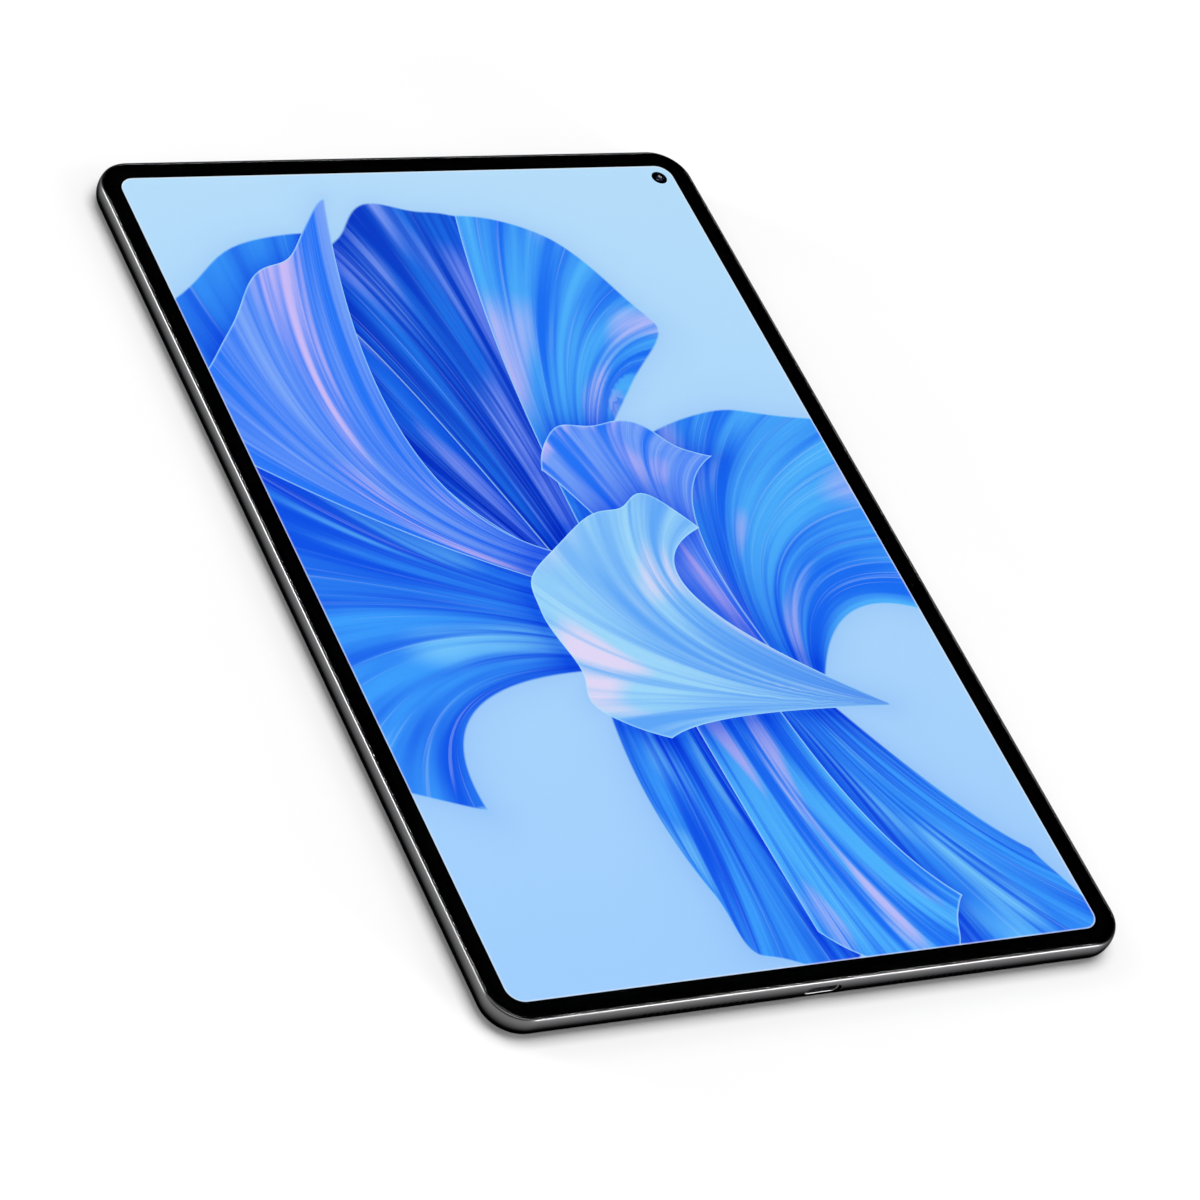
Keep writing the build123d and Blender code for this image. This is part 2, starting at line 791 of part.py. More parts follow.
def make_chips():
    row_width = processor_size + memory_width + storage_width
    gap = (processor_shield_width - 2 * shield_wall - row_width) / 4
    row_start = processor_bay_x - processor_shield_width / 2 + shield_wall
    processor_x = row_start + gap + processor_size / 2
    memory_x = processor_x + (processor_size + memory_width) / 2 + gap
    storage_x = memory_x + (memory_width + storage_width) / 2 + gap
    module_width = wireless_shield_width - 2 * wireless_module_margin
    module_length = shield_length - 2 * wireless_module_margin
    chips = [
        ("processor", processor_size, processor_size, processor_height, processor_x),
        ("memory_chip", memory_width, memory_length, memory_height, memory_x),
        ("storage_chip", storage_width, storage_length, storage_height, storage_x),
        ("wireless_module", module_width, module_length, wireless_module_height, wireless_bay_x),
        ("power_chip", power_chip_size, power_chip_size, power_chip_height, power_chip_x),
    ]
    for name, width, length, height, x in chips:
        with BuildPart() as chip:
            plate(width, length, board_top, board_top + height, (x, board_y), corner=chip_corner)
            chamfer(chip.faces().sort_by(Axis.Z)[-1].edges(), chip_edge)
        save(chip, name)


def make_shields():
    shields = [
        ("processor_shield", processor_shield_width, processor_bay_x),
        ("wireless_shield", wireless_shield_width, wireless_bay_x),
    ]
    for name, width, x in shields:
        with BuildPart() as shield:
            plate(width, shield_length, board_top, shield_top, (x, board_y), corner=shield_corner)
            plate(
                width - 2 * shield_wall, shield_length - 2 * shield_wall, board_top,
                shield_top - shield_wall, (x, board_y), corner=shield_corner - shield_wall,
                mode=Mode.SUBTRACT,
            )
        save(shield, name)


def make_thermal_pad():
    with BuildPart() as thermal_pad:
        plate(
            processor_shield_width - 2 * shield_corner, shield_length - 2 * shield_corner,
            shield_top, shelf_bottom, (processor_bay_x, board_y),
        )
    save(thermal_pad, "thermal_pad")


def make_connectors():
    board_places = [(x, connector_y) for x in (0, battery_flex_x, display_flex_x)]
    with BuildPart() as board_connectors:
        for place in board_places + [(0, usb_connector_y)]:
            plate(connector_width, connector_length, connector_low, board_bottom_level, place)
    save(board_connectors, "board_connectors")


def make_screws():
    with BuildPart() as screws:
        for place, bearing in all_screw_places():
            disc(screw_head_radius, bearing - screw_head_height, bearing, place)
            disc(screw_radius, bearing, bearing + screw_length, place)
            with BuildSketch(Plane.XY.offset(bearing - screw_head_height)) as drive:
                with Locations(place):
                    RegularPolygon(drive_radius, 6)
            extrude(drive.sketch, amount=drive_depth, mode=Mode.SUBTRACT)
    save(screws, "screws")


# ---- Battery ----
def make_battery_cells():
    for name, side in (("battery_cell_left", -1), ("battery_cell_right", 1)):
        with BuildPart() as cell:
            plate(
                cell_width, cell_length, cell_low, cell_high, (side * cell_x, cell_y),
                corner=cell_corner,
            )
            flat_faces = cell.faces().filter_by(Axis.Z)
            fillet(flat_faces.edges(), cell_edge_radius)
        save(cell, name)


def make_battery_tape():
    strip_offset = cell_width / 2 - cell_tape_width
    with BuildPart() as battery_tape:
        for side in (-1, 1):
            for offset in (-strip_offset, strip_offset):
                plate(
                    cell_tape_width, cell_length - cell_tape_shortfall, cell_high, shelf_bottom,
                    (side * cell_x + offset, cell_y),
                )
    save(battery_tape, "battery_tape")


def make_battery_board():
    high = battery_board_low + battery_board_height
    with BuildPart() as battery_board:
        plate(battery_board_width, battery_board_length, battery_board_low, high, (0, battery_board_y))
    save(battery_board, "battery_board")


def make_battery_flex():
    start = battery_board_y - battery_board_length / 2
    end = connector_y + connector_length / 2
    with BuildPart() as battery_flex:
        plate(
            battery_flex_width, end - start, flex_low, connector_low,
            (battery_flex_x, (start + end) / 2),
        )
        plate(
            battery_flex_width, battery_board_length, connector_low, battery_board_low,
            (battery_flex_x, battery_board_y),
        )
    save(battery_flex, "battery_flex")


def make_main_flex():
    start = usb_connector_y - connector_length / 2
    end = connector_y + connector_length / 2
    with BuildPart() as main_flex:
        plate(main_flex_width, end - start, flex_low, connector_low, (0, (start + end) / 2))
    save(main_flex, "main_flex")


def make_graphite_sheet():
    low = cover_thickness + graphite_lift
    width = 2 * cell_width + cell_spacing
    with BuildPart() as graphite_sheet:
        plate(width, cell_length, low, low + graphite_thickness, (0, cell_y))
    save(graphite_sheet, "graphite_sheet")


# ---- USB-C socket ----
def make_usb_shell():
    inner_width = usb_shell_width - 2 * usb_shell_wall
    inner_height = usb_shell_height - 2 * usb_shell_wall
    back = usb_back - half_h
    front = usb_front - half_h
    with BuildPart() as usb_shell:
        slot_bar(bottom_plane, 0, port_level, usb_shell_width, usb_shell_height, back, front)
        slot_bar(bottom_plane, 0, port_level, inner_width, inner_height, back, front, Mode.SUBTRACT)
    save(usb_shell, "usb_shell")


def make_usb_tongue():
    inner_width = usb_shell_width - 2 * usb_shell_wall - 2 * contact_gap
    inner_height = usb_shell_height - 2 * usb_shell_wall - 2 * contact_gap
    back = usb_back - half_h
    tip = usb_front - half_h - usb_tongue_recess
    with BuildPart() as usb_tongue:
        slot_bar(bottom_plane, 0, port_level, inner_width, inner_height, back, back + usb_base_length)
        block(
            bottom_plane, 0, port_level, usb_tongue_width, usb_tongue_thickness, back + usb_base_length,
            tip,
        )
    save(usb_tongue, "usb_tongue")


def make_usb_board():
    notch_depth = usb_board_edge - usb_back + fit_gap
    notch_y = -(usb_board_edge - notch_depth / 2)
    notch_width = usb_shell_width + 2 * fit_gap
    with BuildPart() as usb_board:
        plate(usb_board_width, usb_board_length, board_bottom_level, board_top, (0, usb_board_y))
        plate(
            notch_width, notch_depth, board_bottom_level, board_top, (0, notch_y), mode=Mode.SUBTRACT
        )
        for place in usb_screw_places():
            disc(screw_radius + screw_hole_gap, board_bottom_level, board_top, place, Mode.SUBTRACT)
    save(usb_board, "usb_board")


# ---- Speakers and microphones ----
def make_speakers():
    """Four sound boxes, each with a nozzle against its row of holes."""
    nozzle_width = speaker_hole_pitch * speaker_hole_count
    nozzle_front = -wall_inset - mesh_thickness - 2 * contact_gap
    nozzle_back = speaker_outer_y - half_h
    channel_height = speaker_nozzle_height - 2 * speaker_nozzle_wall
    body_high = cell_high
    places = [
        ("speaker_top_left", top_plane, -1, 1),
        ("speaker_top_right", top_plane, 1, 1),
        ("speaker_bottom_left", bottom_plane, -1, -1),
        ("speaker_bottom_right", bottom_plane, 1, -1),
    ]
    for name, plane_of, side, end in places:
        centre = (side * speaker_x, end * (speaker_outer_y - speaker_depth / 2))
        with BuildPart() as speaker:
            plate(
                speaker_width, speaker_depth, module_low, body_high, centre, corner=module_corner
            )
            block(
                plane_of, side * speaker_x, port_level, nozzle_width, speaker_nozzle_height,
                nozzle_back - part_gap, nozzle_front,
            )
            block(
                plane_of, side * speaker_x, port_level, nozzle_width - 2 * speaker_nozzle_wall,
                channel_height, nozzle_back - speaker_channel_depth, nozzle_front, Mode.SUBTRACT,
            )
            plate(
                speaker_width - 2 * speaker_cone_margin_x, speaker_cone_length, module_low,
                module_low + speaker_cone_depth, centre, corner=speaker_cone_corner,
                mode=Mode.SUBTRACT,
            )
        save(speaker, name)


def make_speaker_meshes():
    width = speaker_hole_pitch * speaker_hole_count
    height = 2 * speaker_hole_radius + mesh_margin
    front = -wall_inset - contact_gap
    with BuildPart() as speaker_meshes:
        for plane_of in (top_plane, bottom_plane):
            for side in (-1, 1):
                block(
                    plane_of, side * speaker_x, port_level, width, height, front - mesh_thickness,
                    front,
                )
    save(speaker_meshes, "speaker_meshes")


def make_microphones():
    front = -wall_inset - fit_gap
    with BuildPart() as microphones:
        for x in microphone_places:
            block(
                top_plane, x, port_level, microphone_width, microphone_height,
                front - microphone_depth, front,
            )
    save(microphones, "microphones")


# ---- Power key, with its fingerprint sensor and switch ----
def make_power_key():
    with BuildPart() as power_key:
        slot_bar(
            top_plane, power_key_x, key_level, power_key_length, key_height, power_flange_front,
            key_face,
        )
        fillet(power_key.faces().sort_by(Axis.Y)[-1].edges(), key_face_radius)
        block(
            top_plane, power_key_x, key_level, power_flange_length,
            key_flange_height, power_flange_back, power_flange_front,
        )
        rod(top_plane, power_key_x, key_level, key_nub_radius, power_nub_back, power_flange_back)
        slot_bar(
            top_plane, power_key_x, key_level, fingerprint_length + 2 * contact_gap,
            fingerprint_height + 2 * contact_gap, key_face - fingerprint_depth, key_face, Mode.SUBTRACT,
        )
    save(power_key, "power_key")

    with BuildPart() as fingerprint_sensor:
        slot_bar(
            top_plane, power_key_x, key_level, fingerprint_length, fingerprint_height,
            key_face - fingerprint_depth, key_face - contact_gap,
        )
    save(fingerprint_sensor, "fingerprint_sensor")


def make_switch_pieces(plane_of, along, nub_back):
    """Switch housing with a blind hole for its plunger, behind a key's nub."""
    plunger_front = nub_back - contact_gap
    switch_front = plunger_front - plunger_stand
    hole_depth = plunger_length - plunger_stand + power_key_travel + plunger_hole_gap
    block(
        plane_of, along, key_level, switch_length, switch_height, switch_front - switch_depth,
        switch_front,
    )
    rod(
        plane_of, along, key_level, plunger_radius + plunger_hole_gap, switch_front - hole_depth,
        switch_front, Mode.SUBTRACT,
    )


def make_plunger(name, plane_of, along, nub_back):
    plunger_front = nub_back - contact_gap
    with BuildPart() as plunger:
        rod(plane_of, along, key_level, plunger_radius, plunger_front - plunger_length, plunger_front)
    save(plunger, name)


def switch_back(nub_back):
    """Depth of the back of a switch housing."""
    return nub_back - contact_gap - plunger_stand - switch_depth


def make_power_switch():
    with BuildPart() as power_switch:
        make_switch_pieces(top_plane, power_key_x, power_nub_back)
    save(power_switch, "power_switch")
    make_plunger("power_switch_plunger", top_plane, power_key_x, power_nub_back)


def key_bracket(plane_of, along, back, length):
    """Bent steel bracket: a back plate and a leg at each end that reaches the wall."""
    leg = (length - key_bracket_wall) / 2
    block(plane_of, along, key_level, length, key_bracket_height, back - key_bracket_wall, back)
    for side in (-1, 1):
        start = along + side * leg
        block(
            plane_of, start, key_level, key_bracket_wall, key_bracket_height, back,
            -wall_inset - contact_gap,
        )


def make_power_key_bracket():
    with BuildPart() as power_key_bracket:
        key_bracket(top_plane, power_key_x, switch_back(power_nub_back), power_bracket_length)
    save(power_key_bracket, "power_key_bracket")


# ---- Volume rocker on its pin, with two switches ----
def make_volume_rocker():
    pivot = (half_w + rocker_pivot, volume_key_y)
    neck_length = volume_flange_back - rocker_pivot
    with BuildPart() as volume_rocker:
        slot_bar(
            right_plane, volume_key_y, key_level, volume_key_length, key_height, volume_flange_front,
            key_face,
        )
        fillet(volume_rocker.faces().sort_by(Axis.X)[-1].edges(), key_face_radius)
        block(
            right_plane, volume_key_y, key_level, volume_flange_length,
            key_flange_height, volume_flange_back, volume_flange_front,
        )
        for side in (-1, 1):
            rod(
                right_plane, volume_key_y + side * volume_nub_y, key_level, key_nub_radius,
                volume_nub_back, volume_flange_back,
            )
        disc(rocker_eye_radius, rocker_eye_low, rocker_eye_high, pivot)
        plate(
            neck_length, rocker_neck_width, rocker_eye_low, rocker_eye_high,
            (pivot[0] + neck_length / 2, volume_key_y),
        )
        disc(
            rocker_pin_radius + rocker_pin_gap, rocker_eye_low, rocker_eye_high, pivot, Mode.SUBTRACT
        )
    save(volume_rocker, "volume_rocker")


def make_volume_rocker_pin():
    pivot = (half_w + rocker_pivot, volume_key_y)
    low = rocker_eye_low - rocker_ear_gap - rocker_ear_thickness
    high = rocker_eye_high + rocker_ear_gap + rocker_ear_thickness
    with BuildPart() as volume_rocker_pin:
        disc(rocker_pin_radius, low, high, pivot)
    save(volume_rocker_pin, "volume_rocker_pin")


def make_volume_bracket():
    back = switch_back(volume_nub_back)
    pivot = (half_w + rocker_pivot, volume_key_y)
    ear_length = rocker_pivot - back + rocker_eye_depth - part_gap
    ear_x = half_w + back + ear_length / 2
    upper_ear = rocker_eye_high + rocker_ear_gap
    lower_ear = rocker_eye_low - rocker_ear_gap - rocker_ear_thickness
    with BuildPart() as volume_bracket:
        key_bracket(right_plane, volume_key_y, back, volume_bracket_length)
        for low in (lower_ear, upper_ear):
            high = low + rocker_ear_thickness
            plate(ear_length, rocker_ear_width, low, high, (ear_x, volume_key_y))
            disc(rocker_pin_radius + fixed_pin_gap, low, high, pivot, Mode.SUBTRACT)
    save(volume_bracket, "volume_bracket")


def make_volume_switches():
    with BuildPart() as volume_switches:
        for side in (-1, 1):
            make_switch_pieces(right_plane, volume_key_y + side * volume_nub_y, volume_nub_back)
    save(volume_switches, "volume_switches")
    up = volume_key_y + volume_nub_y
    down = volume_key_y - volume_nub_y
    make_plunger("volume_up_plunger", right_plane, up, volume_nub_back)
    make_plunger("volume_down_plunger", right_plane, down, volume_nub_back)


# ---- Antennas, magnets and pen charging coil ----
def make_antennas():
    x = half_w - antenna_inset_x
    y = half_h - antenna_inset_y
    with BuildPart() as antennas:
        for place in ((-x, y), (-x, -y), (x, -y)):
            plate(
                antenna_width, antenna_length, seat_top, seat_top + antenna_height, place,
                corner=module_corner,
            )
    save(antennas, "antennas")


def make_magnets():
    x = half_w - magnet_inset
    low = module_low
    left = [(-x, i * magnet_pitch) for i in (-2, -1, 0, 1, 2)]
    right = [(x, i * magnet_pitch) for i in (-1, 1)]
    with BuildPart() as magnets:
        for place in left + right:
            plate(magnet_width, magnet_length, low, low + magnet_height, place)
    save(magnets, "magnets")


def make_pen_coil():
    place = (half_w - magnet_inset, 0)
    low = module_low
    high = low + pen_coil_height
    with BuildPart() as pen_coil:
        pill(pen_coil_width, pen_coil_length, low, high, place)
        pill(
            pen_coil_width - 2 * pen_coil_wire, pen_coil_length - 2 * pen_coil_wire, low, high, place,
            Mode.SUBTRACT,
        )
    save(pen_coil, "pen_coil")


def main():
    os.makedirs("parts", exist_ok=True)
    make_cover_glass()
    make_display_tape()
    make_display_panel()
    make_display_cushion()
    make_display_flex()
    make_front_camera()
    make_front_camera_lens()
    make_light_sensor()
    make_mid_frame()
    make_rear_cover()
    make_rear_cover_tape()
    make_camera_bezel()
    make_camera_window()
    make_main_camera()
    make_wide_camera()
    make_flash_module()
    make_camera_bracket()
    make_main_board()
    make_chips()
    make_shields()
    make_thermal_pad()
    make_connectors()
    make_screws()
    make_battery_cells()
    make_battery_tape()
    make_battery_board()
    make_battery_flex()
    make_main_flex()
    make_graphite_sheet()
    make_usb_shell()
    make_usb_tongue()
    make_usb_board()
    make_speakers()
    make_speaker_meshes()
    make_microphones()
    make_power_key()
    make_power_switch()
    make_power_key_bracket()
    make_volume_rocker()
    make_volume_rocker_pin()
    make_volume_bracket()
    make_volume_switches()
    make_antennas()
    make_magnets()
    make_pen_coil()


main()
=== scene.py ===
import json
import math

import bmesh
import bpy
import numpy as np
from mathutils import Matrix, Vector, geometry
from mathutils.bvhtree import BVHTree


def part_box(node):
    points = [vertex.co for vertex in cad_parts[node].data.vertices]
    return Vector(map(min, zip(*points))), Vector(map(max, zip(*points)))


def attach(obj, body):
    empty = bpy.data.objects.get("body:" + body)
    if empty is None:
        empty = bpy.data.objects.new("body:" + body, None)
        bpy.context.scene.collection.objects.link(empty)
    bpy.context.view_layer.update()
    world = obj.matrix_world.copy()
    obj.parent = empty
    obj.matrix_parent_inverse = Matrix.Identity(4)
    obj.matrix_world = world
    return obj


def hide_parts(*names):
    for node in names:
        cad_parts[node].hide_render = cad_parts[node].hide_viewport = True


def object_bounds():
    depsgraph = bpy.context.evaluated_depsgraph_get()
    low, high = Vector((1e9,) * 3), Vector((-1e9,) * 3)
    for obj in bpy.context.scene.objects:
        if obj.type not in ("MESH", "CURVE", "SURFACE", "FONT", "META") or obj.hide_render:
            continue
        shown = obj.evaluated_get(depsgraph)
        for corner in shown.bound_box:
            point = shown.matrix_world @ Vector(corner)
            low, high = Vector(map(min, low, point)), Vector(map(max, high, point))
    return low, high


# Looks of a tablet computer lying on its back. Lengths are in millimetres and turn into metres where
# a mesh, light or camera is made. +X is the right of the upright screen, +Y its top, +Z out of it.

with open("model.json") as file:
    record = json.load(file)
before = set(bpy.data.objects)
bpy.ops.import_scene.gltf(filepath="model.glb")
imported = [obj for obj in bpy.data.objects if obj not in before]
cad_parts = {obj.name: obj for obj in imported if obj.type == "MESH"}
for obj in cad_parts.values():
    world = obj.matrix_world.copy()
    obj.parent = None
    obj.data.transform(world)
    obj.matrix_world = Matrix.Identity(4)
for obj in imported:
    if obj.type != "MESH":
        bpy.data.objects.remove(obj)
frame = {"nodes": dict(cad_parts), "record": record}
cad_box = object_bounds()
nodes = frame["nodes"]
MM = 0.001
merge_distance = 0.0002 * MM


def millimetre_box(node):
    """Lowest and highest corner of a CAD node, in millimetres."""
    low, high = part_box(node)
    return low / MM, high / MM


def flat_middle(low, high):
    """Middle of a box, seen from above."""
    return ((low.x + high.x) / 2, (low.y + high.y) / 2)


# ---- Places read from the frame ----
glass_low, glass_high = millimetre_box("cover_glass")
frame_high = millimetre_box("mid_frame")[1]
cover_high = millimetre_box("rear_cover")[1]
panel_high = millimetre_box("display_panel")[1]
power_low, power_high = millimetre_box("power_key")
volume_low, volume_high = millimetre_box("volume_rocker")
sensor_low, sensor_high = millimetre_box("fingerprint_sensor")
shell_low, shell_high = millimetre_box("usb_shell")
tongue_low, tongue_high = millimetre_box("usb_tongue")
window_low, window_high = millimetre_box("camera_window")
bezel_low, bezel_high = millimetre_box("camera_bezel")
main_lens_low, main_lens_high = millimetre_box("main_camera_lens")
wide_low, wide_high = millimetre_box("wide_camera")
flash_low, flash_high = millimetre_box("flash_module")
front_lens_low, front_lens_high = millimetre_box("front_camera_lens")

half_w = glass_high.x
half_h = glass_high.y
glass_bottom = glass_low.z
glass_top = glass_high.z
lip_top = frame_high.z
side_bulge = frame_high.x - half_w

# ---- Sizes that the frame does not state ----
glass_corner = 8.35
border_width = 4.45
screen_corner = 3.9
glass_edge_radius = 0.25
glass_gap = 0.08
side_widest = 3.5
rim_inset = 1.05
lip_roll_width = 0.7
lip_blend = 0.16
wall_inset = 1.6
tape_thickness = 0.15
cover_seat_depth = 3.35
cover_seat_low = 0.85
cover_seat_high = 1.65
rim_inner = 1.85
rim_bevel = 0.06
shelf_thickness = 0.4
wall_overlap = 0.2
wall_margin = 0.3  # how far a hole's cutter runs past the inside of the wall
hole_flare = 0.06
port_flare = 0.1
boss_radius = 1.7
thread_radius = 0.72
board_screw_inset = 4.0
usb_screw_x = 9.0
usb_screw_from_edge = 9.0
bracket_ear_offset = 8.3
fit_gap = 0.1
cut_margin = 0.1  # how far a cutter or a joined part runs past the face it meets
contact_gap = 0.02
flex_slot_margin = 0.5
flex_thickness = 0.12
port_level = 2.7
speaker_holes = 18
speaker_hole_pitch = 1.6
speaker_hole_radius = 0.5
microphone_hole_radius = 0.45
punch_radius = 2.03
front_aperture = 1.15
front_dome_radius = 0.95
front_dome_height = 0.28
front_dome_drop = 0.42

# Keys
key_level = 2.78
key_height = 2.0
key_gap = 0.1
key_face_radius = 0.2
key_flange_length = 2.4
key_flange_height = 1.7
key_flange_thickness = 0.6
key_nub_radius = 0.7
key_nub_length = 0.4
sensor_depth = 0.25
volume_nub_y = 8.0
rocker_eye_radius = 1.0
rocker_eye_depth = 0.9
rocker_eye_height = 1.3
rocker_neck_width = 1.6
rocker_pin_hole = 0.43

# USB-C socket
shell_wall = 0.3
port_depth = 10.0
tongue_width = 6.7
tongue_thickness = 0.7
tongue_base_length = 2.0
contact_count = 12
contact_pitch = 0.5
contact_width = 0.3
contact_height = 0.04
contact_inset = 0.3
contact_tip_gap = 0.45

# Camera island
island_width = 15.0
island_length = 33.0
island_edge_radius = 0.35
island_flange = 1.2
island_flange_thickness = 0.25
window_border = 0.8
window_ledge = 1.0
camera_low = bezel_high.z + fit_gap
lens_cup_depth = 0.8
lens_cup_slope = 1.0
lens_rim_width = 1.35
wide_barrel_radius = 2.8
flash_radius = 1.9
main_aperture = 2.75
wide_aperture = 2.35
flash_aperture = 1.7

# ---- Middles worked out from the frame ----
island = flat_middle(bezel_low, bezel_high)
main_lens_middle = flat_middle(main_lens_low, main_lens_high)
wide_middle = flat_middle(wide_low, wide_high)
front_lens_middle = flat_middle(front_lens_low, front_lens_high)
main_barrel_radius = (main_lens_high.x - main_lens_low.x) / 2
power_middle = (power_low.x + power_high.x) / 2
volume_middle = (volume_low.y + volume_high.y) / 2
power_length = power_high.x - power_low.x - key_flange_length
volume_length = volume_high.y - volume_low.y - key_flange_length


# ---- Mesh helpers ----
def add_object(name, points, faces, material, body="housing"):
    """Makes a mesh object from points in millimetres and lets it ride on a body."""
    mesh = bpy.data.meshes.new(name)
    mesh.from_pydata([Vector(p) * MM for p in points], [], faces)
    mesh.validate()
    tidy = bmesh.new()
    tidy.from_mesh(mesh)
    bmesh.ops.remove_doubles(tidy, verts=tidy.verts, dist=merge_distance)
    bmesh.ops.recalc_face_normals(tidy, faces=tidy.faces)
    tidy.to_mesh(mesh)
    tidy.free()
    mesh.materials.append(material)
    obj = bpy.data.objects.new(name, mesh)
    bpy.context.scene.collection.objects.link(obj)
    if body:
        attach(obj, body)
    return obj


def smooth(obj, angle=35):
    """Smooth shading with sharp edges kept, and big flat faces kept flat."""
    obj.data.shade_smooth()
    obj.data.set_sharp_from_angle(angle=math.radians(angle))
    weighted = obj.modifiers.new("weighted_normals", "WEIGHTED_NORMAL")
    weighted.keep_sharp = True


def stack_rings(rings, closed=False):
    """Points and faces of a skin over rings that all have the same number of points. A closed skin
    joins its last ring to the first, and any other has a flat face at both ends."""
    count = len(rings[0])
    points = [p for ring in rings for p in ring]
    faces = []
    last = len(rings) if closed else len(rings) - 1
    for i in range(last):
        a = i * count
        b = ((i + 1) % len(rings)) * count
        for k in range(count):
            n = (k + 1) % count
            faces.append((a + k, a + n, b + n, b + k))
    if not closed:
        start = (len(rings) - 1) * count
        faces.append(tuple(reversed(range(count))))
        faces.append(tuple(range(start, start + count)))
    return points, faces


def join_parts(parts):
    """One list of points and faces out of several."""
    points, faces = [], []
    for part_points, part_faces in parts:
        start = len(points)
        points += list(part_points)
        faces += [tuple(start + i for i in face) for face in part_faces]
    return points, faces


def rounded_ring(half_x, half_y, radius, level, centre=(0, 0), steps=24):
    """Points of a rectangle with round corners, lying flat at a level."""
    ring = []
    for quarter, (sx, sy) in enumerate(((1, 1), (-1, 1), (-1, -1), (1, -1))):
        for k in range(steps + 1):
            angle = math.radians(90 * quarter + 90 * k / steps)
            x = sx * (half_x - radius) + radius * math.cos(angle)
            y = sy * (half_y - radius) + radius * math.sin(angle)
            ring.append((centre[0] + x, centre[1] + y, level))
    return ring


def outline_ring(outward, level, steps=24):
    """The outline of the glass, moved outwards."""
    return rounded_ring(half_w + outward, half_h + outward, glass_corner + outward, level, steps=steps)


def circle_ring(radius, level, centre, steps=48):
    """Points of a flat circle."""
    turn = 2 * math.pi / steps
    return [
        (centre[0] + radius * math.cos(k * turn), centre[1] + radius * math.sin(k * turn), level)
        for k in range(steps)
    ]


def turned(profile, centre, steps=48):
    """Round piece from (radius, level) pairs, first and last rings closed by flat faces."""
    return stack_rings([circle_ring(radius, level, centre, steps) for radius, level in profile])


def pill_ring(width, length, level, centre, steps=24):
    """Points of a flat shape with round ends, its long side along Y."""
    return rounded_ring(width / 2, length / 2, width / 2, level, centre, steps)


def arc_pairs(centre, radius, start, end, steps):
    """(x, y) pairs along an arc, angles in degrees."""
    pairs = []
    for k in range(steps + 1):
        angle = math.radians(start + (end - start) * k / steps)
        pairs.append((centre[0] + radius * math.cos(angle), centre[1] + radius * math.sin(angle)))
    return pairs


def top_side(along, outward, level):
    """Point on or behind the top side."""
    return (along, half_h + outward, level)


def bottom_side(along, outward, level):
    """Point on or behind the bottom side."""
    return (along, -half_h - outward, level)


def right_side(along, outward, level):
    """Point on or behind the right side."""
    return (half_w + outward, along, level)


def bar_ring(place, along, level, length, height, outward, steps=16):
    """Ring with round ends, upright in a side."""
    radius = height / 2
    ring = []
    for x, y, _ in rounded_ring(length / 2, radius, radius, 0, steps=steps):
        ring.append(place(along + x, outward, level + y))
    return ring


def round_ring(place, along, level, radius, outward, steps=32):
    """Circle, upright in a side."""
    return [place(along + x, outward, level + y) for x, y, _ in circle_ring(radius, 0, (0, 0), steps)]


def rectangle_ring(place, along, level, length, height, outward):
    """Ring with square corners, upright in a side."""
    corners = ((-1, -1), (1, -1), (1, 1), (-1, 1))
    return [place(along + i * length / 2, outward, level + j * height / 2) for i, j in corners]


def side_block(place, along, level, length, height, back, front):
    """Rectangular block running into a side, between two depths."""
    rings = [rectangle_ring(place, along, level, length, height, outward) for outward in (back, front)]
    return stack_rings(rings)


def side_rod(place, along, level, radius, back, front):
    """Round rod running into a side, between two depths."""
    return stack_rings([round_ring(place, along, level, radius, outward) for outward in (back, front)])


def flat_plate(width, length, corner, low, high, centre=(0, 0)):
    """Flat plate with round corners."""
    rings = [rounded_ring(width / 2, length / 2, corner, level, centre, 8) for level in (low, high)]
    return stack_rings(rings)


def fuse(name, parts, material, body="housing", cutters=()):
    """One closed solid out of overlapping parts, less the cutters."""
    base = add_object(name, *parts[0], material, body)
    tools = []
    changes = [("UNION", part) for part in parts[1:]] + [("DIFFERENCE", cutter) for cutter in cutters]
    for operation, shape in changes:
        tool = add_object(f"{name}_tool", *shape, material, body=None)
        change = base.modifiers.new("change", "BOOLEAN")
        change.operation = operation
        change.solver = "EXACT"
        change.object = tool
        tools.append(tool)
    apply_modifiers(base)
    for tool in tools:
        bpy.data.objects.remove(tool)
    return base


def apply_modifiers(obj):
    """Puts what the object's modifiers make into its own mesh."""
    bpy.context.view_layer.update()
    graph = bpy.context.evaluated_depsgraph_get()
    mesh = bpy.data.meshes.new_from_object(obj.evaluated_get(graph))
    obj.modifiers.clear()
    old = obj.data
    obj.data = mesh
    bpy.data.meshes.remove(old)


# ---- Material helpers ----
def srgb(red, green, blue):
    """Linear colour from screen values of 0 to 255."""
    def one(value):
        value = value / 255
        return value / 12.92 if value <= 0.04045 else ((value + 0.055) / 1.055) ** 2.4
    return (one(red), one(green), one(blue), 1.0)


